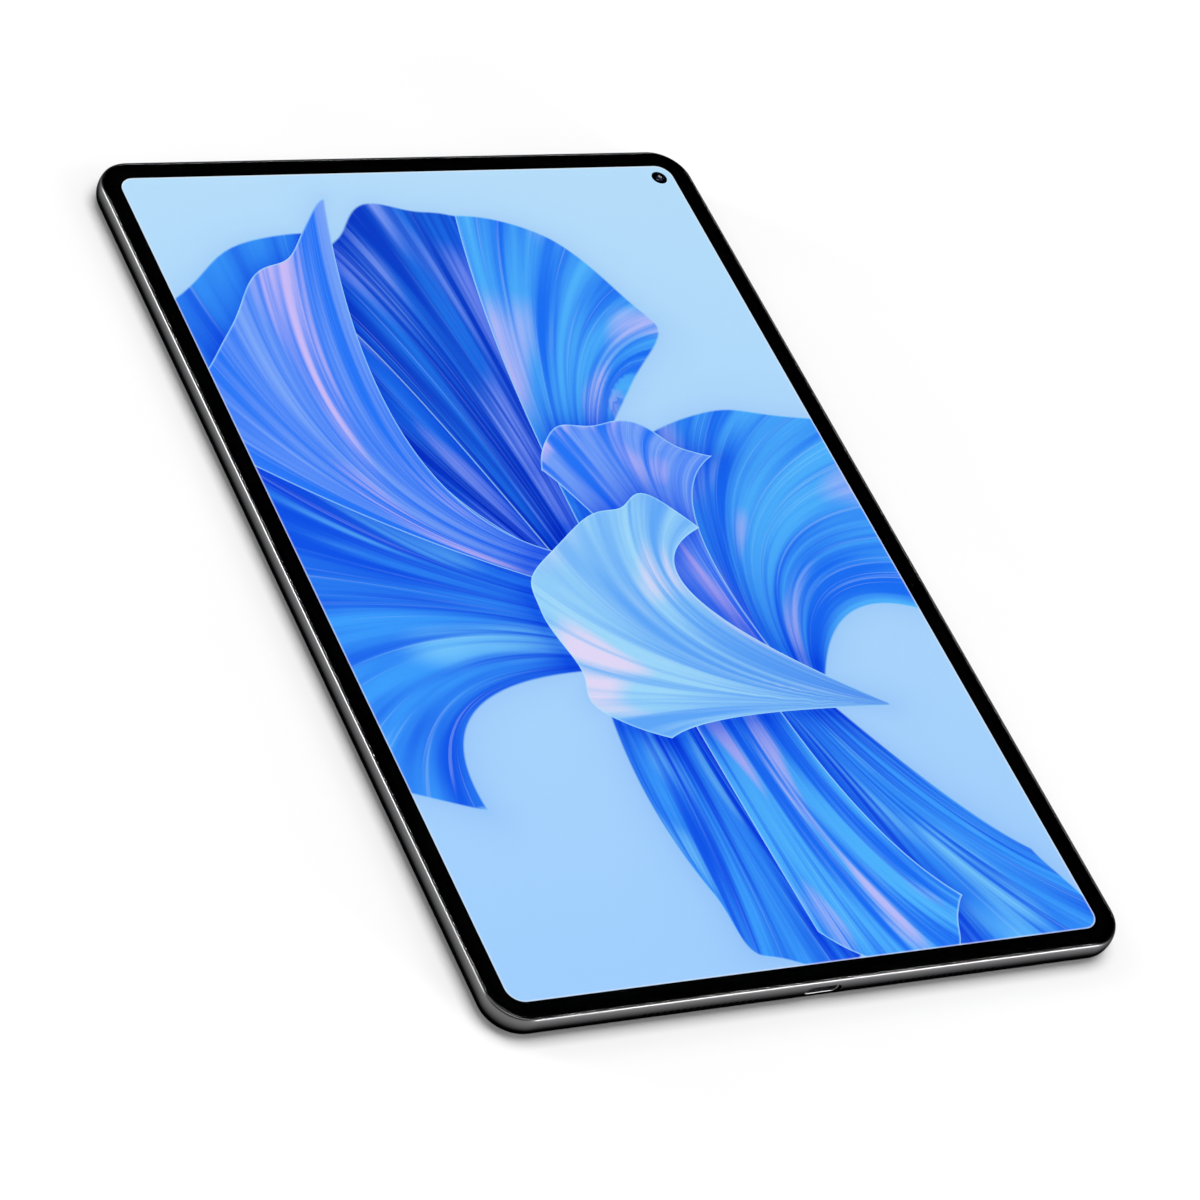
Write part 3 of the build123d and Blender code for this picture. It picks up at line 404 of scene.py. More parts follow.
class Nodes:
    """A material's node tree with short ways to add and link nodes."""

    def __init__(self, name):
        self.material = bpy.data.materials.new(name)
        self.material.use_nodes = True
        self.tree = self.material.node_tree
        self.shader = self.tree.nodes["Principled BSDF"]

    def add(self, kind, **settings):
        node = self.tree.nodes.new(kind)
        for key, value in settings.items():
            setattr(node, key, value)
        return node

    def link(self, source, target):
        self.tree.links.new(source, target)

    def feed(self, socket, value):
        """Links a socket, or sets a plain value."""
        if isinstance(value, bpy.types.NodeSocket):
            self.link(value, socket)
        else:
            socket.default_value = value

    def maths(self, operation, first, second=0.0):
        node = self.add("ShaderNodeMath", operation=operation)
        self.feed(node.inputs[0], first)
        self.feed(node.inputs[1], second)
        return node.outputs[0]

    def place(self, scale=1.0):
        """Object coordinates in millimetres, times a scale."""
        coordinates = self.add("ShaderNodeTexCoord")
        mapping = self.add("ShaderNodeMapping")
        self.link(coordinates.outputs["Object"], mapping.inputs["Vector"])
        factors = scale if isinstance(scale, tuple) else (scale, scale, scale)
        mapping.inputs["Scale"].default_value = [factor / MM for factor in factors]
        return mapping.outputs["Vector"]

    def noise(self, vector, scale=1.0, detail=2.0, roughness=0.5):
        node = self.add("ShaderNodeTexNoise")
        self.link(vector, node.inputs["Vector"])
        node.inputs["Scale"].default_value = scale
        node.inputs["Detail"].default_value = detail
        node.inputs["Roughness"].default_value = roughness
        return node.outputs["Fac"]

    def bands(self, vector, direction, scale):
        """Stripes across one direction, from 0 to 1."""
        node = self.add("ShaderNodeTexWave", wave_type="BANDS", bands_direction=direction)
        self.link(vector, node.inputs["Vector"])
        node.inputs["Scale"].default_value = scale
        return node.outputs["Fac"]

    def cells(self, vector, scale, feature="DISTANCE_TO_EDGE"):
        node = self.add("ShaderNodeTexVoronoi", feature=feature)
        self.link(vector, node.inputs["Vector"])
        node.inputs["Scale"].default_value = scale
        return node.outputs["Distance"]

    def stretch(self, value, low, high, to_low=0.0, to_high=1.0, soft=True):
        """Maps a value from one range to another and clamps it."""
        node = self.add("ShaderNodeMapRange")
        node.interpolation_type = "SMOOTHSTEP" if soft else "LINEAR"
        self.feed(node.inputs["Value"], value)
        node.inputs["From Min"].default_value = low
        node.inputs["From Max"].default_value = high
        node.inputs["To Min"].default_value = to_low
        node.inputs["To Max"].default_value = to_high
        return node.outputs["Result"]

    def mix(self, factor, first, second, blend="MIX"):
        node = self.add("ShaderNodeMix", data_type="RGBA", blend_type=blend)
        self.feed(node.inputs["Factor"], factor)
        self.feed(node.inputs[6], first)
        self.feed(node.inputs[7], second)
        return node.outputs[2]

    def colour(self, source):
        self.link(source, self.shader.inputs["Base Color"])

    def roughness(self, source):
        self.link(source, self.shader.inputs["Roughness"])

    def set(self, socket, value):
        self.shader.inputs[socket].default_value = value

    def bump(self, height, strength, distance):
        node = self.add("ShaderNodeBump")
        node.inputs["Strength"].default_value = strength
        node.inputs["Distance"].default_value = distance * MM
        self.link(height, node.inputs["Height"])
        self.link(node.outputs["Normal"], self.shader.inputs["Normal"])


def surface(
    name, light, dark, metallic=0.0, roughness=0.5, spread=0.1, grain=8.0, bump=0.3, depth=0.01,
    along=(1, 1, 1), painted_shade_heights=None,
):
    """Fine-grained surface: colour, roughness and bump vary with noise of a real size.
    grain is how many grains there are in a millimetre, depth is their height in millimetres, and along
    stretches the grain where it is under 1. The last argument gives the two heights between which the colour
    rises from near black to its full tone: painted shade, darker towards the rear."""
    n = Nodes(name)
    place = n.place(along)
    fine = n.noise(place, grain, 3.0, 0.6)
    broad = n.noise(place, 0.07, 2.0)
    cloudy = n.maths("ADD", n.maths("MULTIPLY", fine, 0.88), n.maths("MULTIPLY", broad, 0.12))
    blend = n.stretch(cloudy, 0.35, 0.65)
    colour = n.mix(blend, dark, light)
    # Painted shade: the colour fades to near black towards the rear by height, standing for the shade on the
    # lower side.
    if painted_shade_heights:
        height = n.add("ShaderNodeSeparateXYZ")
        n.link(n.place(), height.inputs[0])
        colour = n.mix(n.stretch(height.outputs["Z"], *painted_shade_heights, 0.05, 1.0), (0, 0, 0, 1), colour)
    n.colour(colour)
    smoothest, roughest = roughness - spread / 2, roughness + spread / 2
    n.roughness(n.stretch(fine, 0.3, 0.7, smoothest, roughest))
    n.bump(fine, bump, depth)
    n.set("Metallic", metallic)
    return n.material


# ---- Materials of the visible pieces ----
def clear_glass():
    """Hard cover glass. A faint unevenness in its roughness stands for wiped smears."""
    n = Nodes("cover_glass")
    smear = n.noise(n.place((0.05, 0.012, 0.05)), 1.0, 3.0)
    n.roughness(n.stretch(smear, 0.4, 0.8, 0.0, 0.02))
    n.set("Base Color", (0.98, 0.99, 1.0, 1.0))
    n.set("Transmission Weight", 1.0)
    n.set("IOR", 1.5)
    return n.material


def graphite_metal(name="graphite_frame"):
    """Bead-blasted, dyed aluminium: satin, with a very fine grain, and painted shade that darkens it towards
    the rear rim.
    """
    metal = surface(
        name, (0.175, 0.175, 0.178, 1), (0.15, 0.15, 0.153, 1),
        # The last two heights are where the painted shade fades in over the lower side.
        metallic=1.0, roughness=0.28, spread=0.08, grain=14.0, bump=0.12, depth=0.004, painted_shade_heights=(1.8, 5.7),
    )
    metal.node_tree.nodes["Principled BSDF"].inputs["Specular Tint"].default_value = grey(0.2)
    return metal


def rear_graphite():
    """The rear cover's matt dyed metal with a soft sparkle."""
    return surface(
        "graphite_cover", (0.085, 0.087, 0.092, 1), (0.062, 0.064, 0.068, 1),
        metallic=1.0, roughness=0.46, spread=0.12, grain=10.0, bump=0.2, depth=0.006,
    )


def polished_metal():
    """The camera bezel's turned metal, with a fine grain."""
    return surface(
        "bezel_metal", (0.20, 0.205, 0.215, 1), (0.15, 0.155, 0.16, 1),
        metallic=1.0, roughness=0.2, spread=0.1, grain=5.0, bump=0.1, depth=0.003,
    )


def black_ink():
    """Printed black border under the glass, which gives back no light."""
    ink = surface(
        "black_ink", (0.0012, 0.0012, 0.0014, 1), (0.0006, 0.0006, 0.0007, 1),
        roughness=0.7, spread=0.1, grain=4.0, bump=0.05, depth=0.002,
    )
    ink.node_tree.nodes["Principled BSDF"].inputs["Specular IOR Level"].default_value = 0.0
    return ink


def grey(level):
    """Neutral colour with a slight cool cast."""
    return (level, level, level * 1.03, 1.0)


def brushed(name, level, along=(0.05, 1, 1), roughness=0.32):
    """Rolled or brushed steel with fine lines."""
    return surface(
        name, grey(level * 1.1), grey(level * 0.85), metallic=1.0, roughness=roughness, spread=0.14,
        grain=9.0, bump=0.25, depth=0.006, along=along,
    )


def moulded(name, level, roughness=0.5):
    """Moulded dark plastic with a fine spark-eroded texture."""
    return surface(
        name, grey(level * 1.3), grey(level * 0.75), roughness=roughness, spread=0.14, grain=6.0, bump=0.35,
        depth=0.012,
    )


def foam():
    """Open-celled black foam."""
    n = Nodes("black_foam")
    cell = n.cells(n.place(), 4.0)
    n.colour(n.mix(n.stretch(cell, 0.0, 0.25), grey(0.012), grey(0.04)))
    n.roughness(n.stretch(cell, 0.0, 0.3, 0.95, 0.8))
    n.bump(cell, 0.6, 0.05)
    return n.material


def polyimide():
    """Amber flex film with copper tracks under it."""
    n = Nodes("amber_flex")
    place = n.place()
    track = n.stretch(n.bands(place, "X", 0.9), 0.45, 0.6)
    fine = n.noise(place, 6.0, 2.0)
    film = n.mix(fine, (0.40, 0.20, 0.045, 1), (0.52, 0.29, 0.08, 1))
    n.colour(n.mix(track, film, (0.62, 0.34, 0.12, 1)))
    n.roughness(n.stretch(fine, 0.3, 0.7, 0.26, 0.4))
    n.bump(track, 0.25, 0.01)
    return n.material


def solder_mask(name, ground, track_colour):
    """Circuit board: dyed lacquer over a net of tracks."""
    n = Nodes(name)
    place = n.place()
    track = n.stretch(n.cells(place, 0.55), 0.03, 0.07, 1.0, 0.0)
    pads = n.stretch(n.cells(place, 1.6, "F1"), 0.16, 0.2, 1.0, 0.0)
    lacquer = n.mix(n.maths("MULTIPLY", track, 0.8), ground, track_colour)
    n.colour(n.mix(n.maths("MULTIPLY", pads, 0.6), lacquer, (0.55, 0.50, 0.36, 1)))
    n.roughness(n.stretch(n.noise(place, 5.0), 0.3, 0.7, 0.3, 0.45))
    n.bump(n.maths("ADD", track, pads), 0.3, 0.015)
    return n.material


def foil_pouch():
    """Laminated battery foil with soft wrinkles."""
    n = Nodes("battery_pouch")
    place = n.place()
    wrinkle = n.noise(place, 0.16, 4.0, 0.6)
    fine = n.noise(place, 9.0, 2.0)
    n.colour(n.mix(wrinkle, grey(0.075), grey(0.13)))
    n.roughness(n.stretch(fine, 0.3, 0.7, 0.36, 0.5))
    n.bump(wrinkle, 0.5, 0.12)
    n.set("Metallic", 0.3)
    return n.material


def woven_steel():
    """Acoustic mesh of crossed black wires."""
    n = Nodes("mesh_steel")
    place = n.place()
    weft = n.bands(place, "X", 2.2)
    warp = n.bands(place, "Z", 2.2)
    wire = n.maths("MAXIMUM", weft, warp)
    n.colour(n.mix(n.stretch(wire, 0.3, 0.8), grey(0.006), grey(0.075)))
    n.roughness(n.stretch(wire, 0.2, 1.0, 0.7, 0.35))
    n.bump(wire, 0.8, 0.06)
    n.set("Metallic", 0.8)
    return n.material


def wound_copper():
    """Enamelled copper wire, turn beside turn."""
    n = Nodes("copper_coil")
    place = n.place()
    turns = n.bands(place, "Y", 1.6)
    n.colour(n.mix(turns, (0.30, 0.10, 0.035, 1), (0.78, 0.36, 0.17, 1)))
    n.roughness(n.stretch(n.noise(place, 6.0), 0.3, 0.7, 0.2, 0.34))
    n.bump(turns, 0.8, 0.08)
    n.set("Metallic", 1.0)
    return n.material


def gold_plate():
    """Plated contacts."""
    return surface(
        "gold_contacts", (0.95, 0.68, 0.28, 1), (0.78, 0.52, 0.20, 1),
        metallic=1.0, roughness=0.25, grain=8.0, bump=0.1, depth=0.004,
    )


def window_glass():
    """Lightly tinted glass over the rear cameras."""
    n = Nodes("camera_window")
    smear = n.noise(n.place((0.3, 0.1, 0.3)), 1.0, 3.0)
    n.roughness(n.stretch(smear, 0.4, 0.8, 0.0, 0.03))
    n.set("Base Color", (0.86, 0.88, 0.90, 1.0))
    n.set("Transmission Weight", 1.0)
    n.set("IOR", 1.5)
    return n.material


def flash_plastic():
    """Pale yellow moulded lens over the flash's phosphor."""
    n = Nodes("flash_diffuser")
    place = n.place()
    phosphor = n.noise(place, 2.5, 3.0)
    n.colour(n.mix(phosphor, (0.86, 0.74, 0.36, 1), (0.95, 0.88, 0.60, 1)))
    n.roughness(n.stretch(phosphor, 0.3, 0.7, 0.12, 0.25))
    n.bump(n.noise(place, 5.0), 0.15, 0.01)
    n.set("Coat Weight", 0.6)
    return n.material


def sensor_glaze():
    """Smooth dark glaze of the fingerprint sensor."""
    return surface(
        "sensor_glaze", grey(0.060), grey(0.045),
        roughness=0.2, spread=0.06, grain=7.0, bump=0.05, depth=0.002,
    )


def slot_materials():
    """One procedural material for each material slot of the record."""
    return {
        "amber_flex": polyimide(),
        "battery_pouch": foil_pouch(),
        "bezel_metal": polished_metal(),
        "black_foam": foam(),
        "black_plastic": moulded("black_plastic", 0.022),
        "black_tape": moulded("black_tape", 0.012, 0.75),
        "camera_board": solder_mask("camera_board", (0.012, 0.075, 0.04, 1), (0.03, 0.16, 0.08, 1)),
        "camera_lens": lens_glass("camera_lens", srgb(42, 49, 80)),
        "camera_window": window_glass(),
        "chip_black": moulded("chip_black", 0.028, 0.6),
        "circuit_board": solder_mask("circuit_board", (0.012, 0.035, 0.085, 1), (0.03, 0.09, 0.18, 1)),
        "copper_coil": wound_copper(),
        "cover_glass": clear_glass(),
        "display_panel": moulded("display_panel", 0.006, 0.3),
        "flash_diffuser": flash_plastic(),
        "graphite_cover": rear_graphite(),
        "graphite_film": brushed("graphite_film", 0.09, (1, 0.08, 1), 0.5),
        "graphite_frame": graphite_metal(),
        "graphite_key": graphite_metal("graphite_key"),
        "magnet_nickel": brushed("magnet_nickel", 0.55, (1, 1, 1), 0.2),
        "mesh_steel": woven_steel(),
        "port_steel": brushed("port_steel", 0.34, (1, 0.08, 1)),
        "screw_steel": brushed("screw_steel", 0.5, (1, 1, 1), 0.25),
        "sensor_glaze": sensor_glaze(),
        "shield_steel": brushed("shield_steel", 0.55),
        "speaker_plastic": moulded("speaker_plastic", 0.03),
        "steel_bracket": brushed("steel_bracket", 0.5, (1, 0.06, 1)),
        "thermal_pad": moulded("thermal_pad", 0.32, 0.85),
    }


def dress_nodes():
    """Every CAD node takes the material of its slot."""
    for subpart in frame["record"]["subparts"]:
        node = nodes[subpart["node"]]
        node.data.materials.clear()
        node.data.materials.append(MATERIALS[subpart["material_slot"]])


# ---- The picture: own design of overlapping silk leaves ----
BACKGROUND_TOP = srgb(187, 227, 255)
BACKGROUND_LOW = srgb(163, 209, 255)
TONES = {
    "royal": (srgb(18, 88, 235), srgb(62, 160, 255), srgb(120, 205, 255)),
    "deep": (srgb(14, 66, 205), srgb(40, 132, 245), srgb(150, 170, 250)),
    "lilac": (srgb(40, 120, 250), srgb(120, 165, 252), srgb(205, 190, 250)),
    "azure": (srgb(28, 112, 245), srgb(80, 180, 255), srgb(190, 190, 250)),
    "pale": (srgb(96, 168, 250), srgb(160, 218, 252), srgb(228, 218, 248)),
}

# Each leaf: tone, its root line, the line half way along it and its rim, all from one side to the
# other, and the height and number of the waves in the rim. The first leaf is the rearmost.
LEAVES = [
    ("deep", [(-16, -6), (-6, 2)], [(-44, 34), (-28, 46), (-14, 50)],
     [(-58, 70), (-46, 84), (-34, 84), (-24, 80)], 1.4, 1.5),
    ("deep", [(-10, -12), (4, -6)], [(-26, 46), (-6, 52), (12, 42)],
     [(-38, 76), (-26, 100), (0, 107), (20, 96)], 2.2, 2.5),
    ("azure", [(-2, -12), (10, -6)], [(0, 50), (18, 44), (20, 28)],
     [(8, 103), (32, 93), (46, 68), (32, 48), (14, 30)], 2.4, 2.0),
    ("royal", [(-8, -6), (-16, -36)], [(-36, 36), (-60, 0), (-50, -44)],
     [(-27, 98), (-62, 92), (-98, 52), (-112, 0), (-98, -46), (-58, -70)], 2.4, 3.5),
    ("lilac", [(-10, -2), (-13, -12)], [(-34, 34), (-48, 26), (-50, 10)],
     [(-24, 110), (-40, 94), (-64, 72), (-86, 40)], 1.8, 2.5),
    ("azure", [(26, -40), (39, -45)], [(24, 4), (44, 2), (62, -24)],
     [(26, 30), (56, 38), (88, 26), (98, -8), (92, -40)], 1.8, 2.5),
    ("lilac", [(22, -38), (31, -40)], [(4, 6), (18, 12), (28, 2)],
     [(-4, 22), (8, 37), (28, 32), (42, 24)], 2.0, 2.0),
    ("royal", [(-18, -44), (6, -42)], [(-20, -72), (-4, -84), (12, -80)],
     [(-16, -98), (-12, -116), (8, -119), (22, -112)], 1.8, 2.0),
    ("royal", [(18, -36), (32, -40)], [(24, -76), (40, -82), (52, -76)],
     [(26, -112), (48, -121), (74, -115), (68, -96)], 1.8, 2.0),
    ("azure", [(0, -38), (22, -38)], [(2, -78), (16, -86), (30, -80)],
     [(4, -110), (18, -121), (36, -117), (44, -106)], 1.6, 2.0),
    ("pale", [(52, -53), (52.6, -52.4)], [(14, -52), (8, -38), (18, -18)],
     [(-6, -56), (-22, -44), (-20, -26), (-22, -8), (2, 6), (16, 14), (28, 2)], 2.0, 3.5),
]

leaf_colours = ("leaf_dark", "leaf_light", "leaf_glow", "leaf_edge")
leaf_columns = 72
leaf_rows = 40
picture_grid = 1.7
picture_overlap = 0.25  # how far the picture runs under the black border
picture_lift = 0.004
halo_width = 0.45
rim_light_width = 0.5


def line_through(points, count):
    """Smooth line through a few points, as count evenly stepped points."""
    points = np.array(points, float)
    before = 2 * points[0] - points[1]
    after = 2 * points[-1] - points[-2]
    padded = np.vstack([before, points, after])
    line = []
    for u in np.linspace(0, len(points) - 1, count):
        i = min(int(u), len(points) - 2)
        t = u - i
        a, b, c, d = padded[i:i + 4]
        square = (2 * a - 5 * b + 4 * c - d) * t ** 2
        cube = (3 * b - a - 3 * c + d) * t ** 3
        line.append(0.5 * (2 * b + (c - a) * t + square + cube))
    return np.array(line)


def leaf_surface(root, middle, rim, wave_height, waves):
    """Grid of points over a leaf, rows from root to rim and columns from side to side."""
    root = line_through(root, leaf_columns)
    middle = line_through(middle, leaf_columns)
    rim = line_through(rim, leaf_columns)
    outward = rim - middle
    outward /= np.linalg.norm(outward, axis=1)[:, None]
    across = np.linspace(0, 1, leaf_columns)
    ripple = np.sin(2 * math.pi * waves * across) + 0.3 * np.sin(2 * math.pi * (1.7 * waves * across + 0.2))
    rim = rim + outward * (wave_height * ripple)[:, None]
    guide = 2 * middle - (root + rim) / 2
    rows = []
    for s in np.linspace(0, 1, leaf_rows):
        rows.append((1 - s) ** 2 * root + 2 * s * (1 - s) * guide + s ** 2 * rim)
    return np.array(rows)


def leaf_outline(grid):
    """Closed outline of a leaf's grid, going anticlockwise."""
    line = np.vstack([grid[:, 0], grid[-1, 1:], grid[-2::-1, -1], grid[0, -2:0:-1]])
    following = np.roll(line, -1, axis=0)
    area = (line[:, 0] * following[:, 1] - following[:, 0] * line[:, 1]).sum()
    return line if area > 0 else line[::-1]


class Leaf:
    """A leaf of the picture, which tells how far along and across it a point lies."""

    def __init__(self, number, tone, grid):
        self.number = number
        self.tone = tone
        self.outline = leaf_outline(grid)
        self.points = [Vector((x, y, 0)) for x, y in grid.reshape(-1, 2)]
        self.places = [
            Vector((column / (leaf_columns - 1), row / (leaf_rows - 1), 0))
            for row in range(leaf_rows) for column in range(leaf_columns)
        ]
        self.triangles = []
        for row in range(leaf_rows - 1):
            for column in range(leaf_columns - 1):
                a = row * leaf_columns + column
                b = a + leaf_columns
                self.triangles += [(a, a + 1, b + 1), (a, b + 1, b)]
        self.tree = BVHTree.FromPolygons(self.points, self.triangles)

    def place(self, x, y):
        """(across, along), each from 0 to 1."""
        found, _, index, _ = self.tree.find_nearest(Vector((x, y, 0)))
        a, b, c = self.triangles[index]
        at = geometry.barycentric_transform(
            found, self.points[a], self.points[b], self.points[c],
            self.places[a], self.places[b], self.places[c],
        )
        return at.x, at.y


def evenly(line, step):
    """A closed line as points a fixed step apart."""
    ahead = np.roll(line, -1, axis=0)
    points = []
    for start, end in zip(line, ahead):
        count = max(1, int(np.linalg.norm(end - start) / step))
        points += [start + (end - start) * k / count for k in range(count)]
    return np.array(points)


def beside(line, distance):
    """Points at a distance to the left of a closed line."""
    along = np.roll(line, -1, axis=0) - np.roll(line, 1, axis=0)
    along /= np.linalg.norm(along, axis=1)[:, None] + 1e-9
    return line + distance * np.stack([-along[:, 1], along[:, 0]], axis=1)


def distance_to_line(points, line):
    """Distance of each point to a closed line of many short pieces."""
    start = line
    step = np.roll(line, -1, axis=0) - line
    length = (step ** 2).sum(axis=1) + 1e-12
    nearest = np.full(len(points), 1e9)
    for i in range(len(start)):
        offset = points - start[i]
        t = np.clip((offset @ step[i]) / length[i], 0, 1)
        gap = offset - t[:, None] * step[i]
        nearest = np.minimum(nearest, (gap ** 2).sum(axis=1))
    return np.sqrt(nearest)


def inside_line(points, line):
    """Which points lie inside a closed line."""
    inside = np.zeros(len(points), bool)
    x, y = points[:, 0], points[:, 1]
    following = np.roll(line, -1, axis=0)
    for (ax, ay), (bx, by) in zip(line, following):
        if ay == by:
            continue
        crosses = (ay > y) != (by > y)
        inside ^= crosses & (x < (bx - ax) * (y - ay) / (by - ay) + ax)
    return inside


def picture_material():
    """Light from the pixels: silk shading from each leaf's own across and along places."""
    n = Nodes("lit_picture")
    place = n.add("ShaderNodeAttribute", attribute_name="leaf_place").outputs["Vector"]
    split = n.add("ShaderNodeSeparateXYZ")
    n.link(place, split.inputs[0])
    across, along, number = split.outputs

    def silk(per_leaf, along_scale, shift, detail):
        combined = n.add("ShaderNodeCombineXYZ")
        n.link(n.maths("MULTIPLY", across, per_leaf), combined.inputs[0])
        n.link(n.maths("MULTIPLY", along, along_scale), combined.inputs[1])
        n.link(n.maths("ADD", n.maths("MULTIPLY", number, 3.7), shift), combined.inputs[2])
        return n.noise(combined.outputs[0], 1.0, detail, 0.55)

    folds = silk(7.0, 1.1, 0.0, 1.0)
    pleats = silk(24.0, 0.9, 9.0, 2.0)
    threads = silk(120.0, 0.8, 21.0, 2.0)
    sheen = silk(4.5, 2.6, 33.0, 0.0)
    weave = n.maths("ADD", n.maths("MULTIPLY", folds, 0.55), n.maths("MULTIPLY", pleats, 0.45))
    tone = n.stretch(weave, 0.36, 0.62)
    dark, light, glow, edge = (
        n.add("ShaderNodeAttribute", attribute_name=name).outputs["Color"] for name in leaf_colours
    )
    colour = n.mix(tone, dark, light)
    glint = n.maths("MULTIPLY", n.stretch(sheen, 0.52, 0.74), n.stretch(weave, 0.42, 0.6))
    colour = n.mix(glint, colour, glow)
    line_dark = n.stretch(threads, 0.60, 0.70, 0.0, 0.16)
    line_light = n.stretch(threads, 0.40, 0.30, 0.0, 0.16)
    factors = n.add("ShaderNodeSeparateColor")
    n.link(edge, factors.inputs[0])
    shade, rim_light, halo = factors.outputs[0], factors.outputs[1], factors.outputs[2]
    is_leaf = n.stretch(number, 0.2, 0.8)
    colour = n.mix(n.maths("MULTIPLY", line_dark, is_leaf), colour, dark)
    colour = n.mix(n.maths("MULTIPLY", line_light, is_leaf), colour, srgb(200, 235, 255))
    shaded = n.mix(shade, colour, n.mix(1.0, colour, srgb(95, 150, 235), "MULTIPLY"))
    lit = n.mix(rim_light, shaded, srgb(175, 232, 255))
    edged = n.mix(halo, lit, srgb(240, 248, 255))
    n.link(edged, n.shader.inputs["Emission Color"])
    n.set("Emission Strength", 1.09)
    n.set("Base Color", (0, 0, 0, 1))
    n.set("Roughness", 0.6)
    n.set("Specular IOR Level", 0.0)
    return n.material


def make_picture():
    """Lit pixel layer of the panel: one flat mesh, cut along the leaves' outlines."""
    half_x = half_w - border_width + picture_overlap
    half_y = half_h - border_width + picture_overlap
    level = panel_high.z + picture_lift
    leaves = []
    for number, (tone, root, middle, rim, wave_height, waves) in enumerate(LEAVES, 1):
        leaves.append(Leaf(number, tone, leaf_surface(root, middle, rim, wave_height, waves)))
    screen = np.array(rounded_ring(half_x, half_y, screen_corner + picture_overlap, 0))[:, :2]
    hole = np.array(circle_ring(punch_radius - picture_overlap, 0, front_lens_middle))[:, :2]
    outlines = [evenly(screen, picture_grid), hole] + [evenly(leaf.outline, picture_grid) for leaf in leaves]

    points, faces = [], []
    for outline in outlines:
        faces.append(list(range(len(points), len(points) + len(outline))))
        points += [Vector(p) for p in outline]
    inner_lines = [beside(outline, rim_light_width) for outline in outlines[2:]]
    inner_lines += [beside(outlines[0], inset) for inset in (picture_overlap, picture_overlap + halo_width)]
    edges = []
    for line in inner_lines:
        first = len(points)
        edges += [(first + k, first + (k + 1) % len(line)) for k in range(len(line))]
        points += [Vector(p) for p in line]
    columns = np.arange(-half_x + picture_grid / 2, half_x, picture_grid)
    rows = np.arange(-half_y + picture_grid / 2, half_y, picture_grid)
    points += [Vector((x, y)) for x in columns for y in rows]
    flat, _, triangles, _, _, _ = geometry.delaunay_2d_cdt(points, edges, faces, 0, 1e-4)
    flat_points = np.array([tuple(p) for p in flat])
    middles = flat_points[np.array(triangles)].mean(axis=1)
    shown = inside_line(middles, outlines[0]) & ~inside_line(middles, hole)
    tops = np.zeros(len(triangles), int)
    for leaf in leaves:
        tops[inside_line(middles, outlines[leaf.number + 1])] = leaf.number
    kept = [(triangles[i], tops[i]) for i in np.flatnonzero(shown)]
    used = sorted({i for triangle, _ in kept for i in triangle})
    renumber = {old: new for new, old in enumerate(used)}
    flat_points = flat_points[used]
    leaf_gaps = [distance_to_line(flat_points, outline) for outline in outlines[2:]]
    screen_gap = distance_to_line(flat_points, screen)

    mesh = bpy.data.meshes.new("display_picture")
    triangles = [tuple(renumber[i] for i in t) for t, _ in kept]
    mesh.from_pydata([Vector((x, y, level)) * MM for x, y in flat_points], [], triangles)
    attributes = {"leaf_place": ("FLOAT_VECTOR", "vector")}
    attributes.update({name: ("FLOAT_COLOR", "color") for name in leaf_colours})
    values = {name: [] for name in attributes}
    memory = {}
    for triangle, (_, top) in zip(triangles, kept):
        for i in triangle:
            if (i, top) not in memory:
                memory[i, top] = corner_values(i, top, leaves, flat_points, leaf_gaps, screen_gap, half_y)
            for name, value in zip(attributes, memory[i, top]):
                values[name].extend(value)
    for name, (kind, field) in attributes.items():
        attribute = mesh.attributes.new(name, kind, "CORNER")
        attribute.data.foreach_set(field, np.array(values[name], np.float32))
    mesh.materials.append(picture_material())
    picture = bpy.data.objects.new("display_picture", mesh)
    bpy.context.scene.collection.objects.link(picture)
    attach(picture, "housing")


def corner_values(i, top, leaves, points, gaps, screen_gap, half_y):
    """Place, three colours and (shadow, bright edge, halo) at a point, seen as part of the top leaf."""
    x, y = points[i]
    halo = 0.7 * max(0.0, 1 - max(0.0, screen_gap[i] - picture_overlap) / halo_width)
    shade = 0.0
    reach, depth = (6.0, 0.75) if top else (5.0, 0.16)
    for leaf in leaves[top:]:
        shade = max(shade, depth * math.exp(-gaps[leaf.number - 1][i] / reach))
    if not top:
        height = (y + half_y) / (2 * half_y)
        colour = [a + (b - a) * height for a, b in zip(BACKGROUND_LOW, BACKGROUND_TOP)]
        return (0, 0, 0), colour, colour, colour, (shade, 0, halo, 1)
    leaf = leaves[top - 1]
    across, along = leaf.place(x, y)
    dark, light, glow = TONES[leaf.tone]
    edge = gaps[top - 1][i]
    rim_light = 0.7 * max(0.0, 1 - edge / rim_light_width)
    shade = min(0.9, shade + 0.5 * (1 - along) ** 3)
    return (across, along, leaf.number), dark, light, glow, (shade, rim_light, halo, 1)


# ---- Glass, border and front camera ----
def make_cover_glass():
    """Clear slab with rounded edges."""
    rings = [outline_ring(0, glass_bottom)]
    centre = (-glass_edge_radius, glass_top - glass_edge_radius)
    for outward, level in arc_pairs(centre, glass_edge_radius, 0, 90, 8):
        rings.append(outline_ring(outward, level))
    glass = add_object("cover_glass_slab", *stack_rings(rings), MATERIALS["cover_glass"])
    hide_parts("cover_glass")
    smooth(glass)


def make_border():
    """Black ink under the glass: a frame round the picture and a ring round the camera."""
    high = glass_bottom - 0.005
    low = glass_bottom - 0.015
    edge = 0.05
    half_x = half_w - border_width
    half_y = half_h - border_width
    outer = [outline_ring(-edge, level) for level in (low, high)]
    inner = [rounded_ring(half_x, half_y, screen_corner, level) for level in (high, low)]
    frame_part = stack_rings(outer + inner, closed=True)
    section = ((punch_radius, low), (punch_radius, high), (front_aperture, high), (front_aperture, low))
    camera_part = stack_rings(
        [circle_ring(radius, level, front_lens_middle, 64) for radius, level in section], closed=True
    )
    border = add_object("printed_border", *join_parts([frame_part, camera_part]), INK)
    smooth(border)


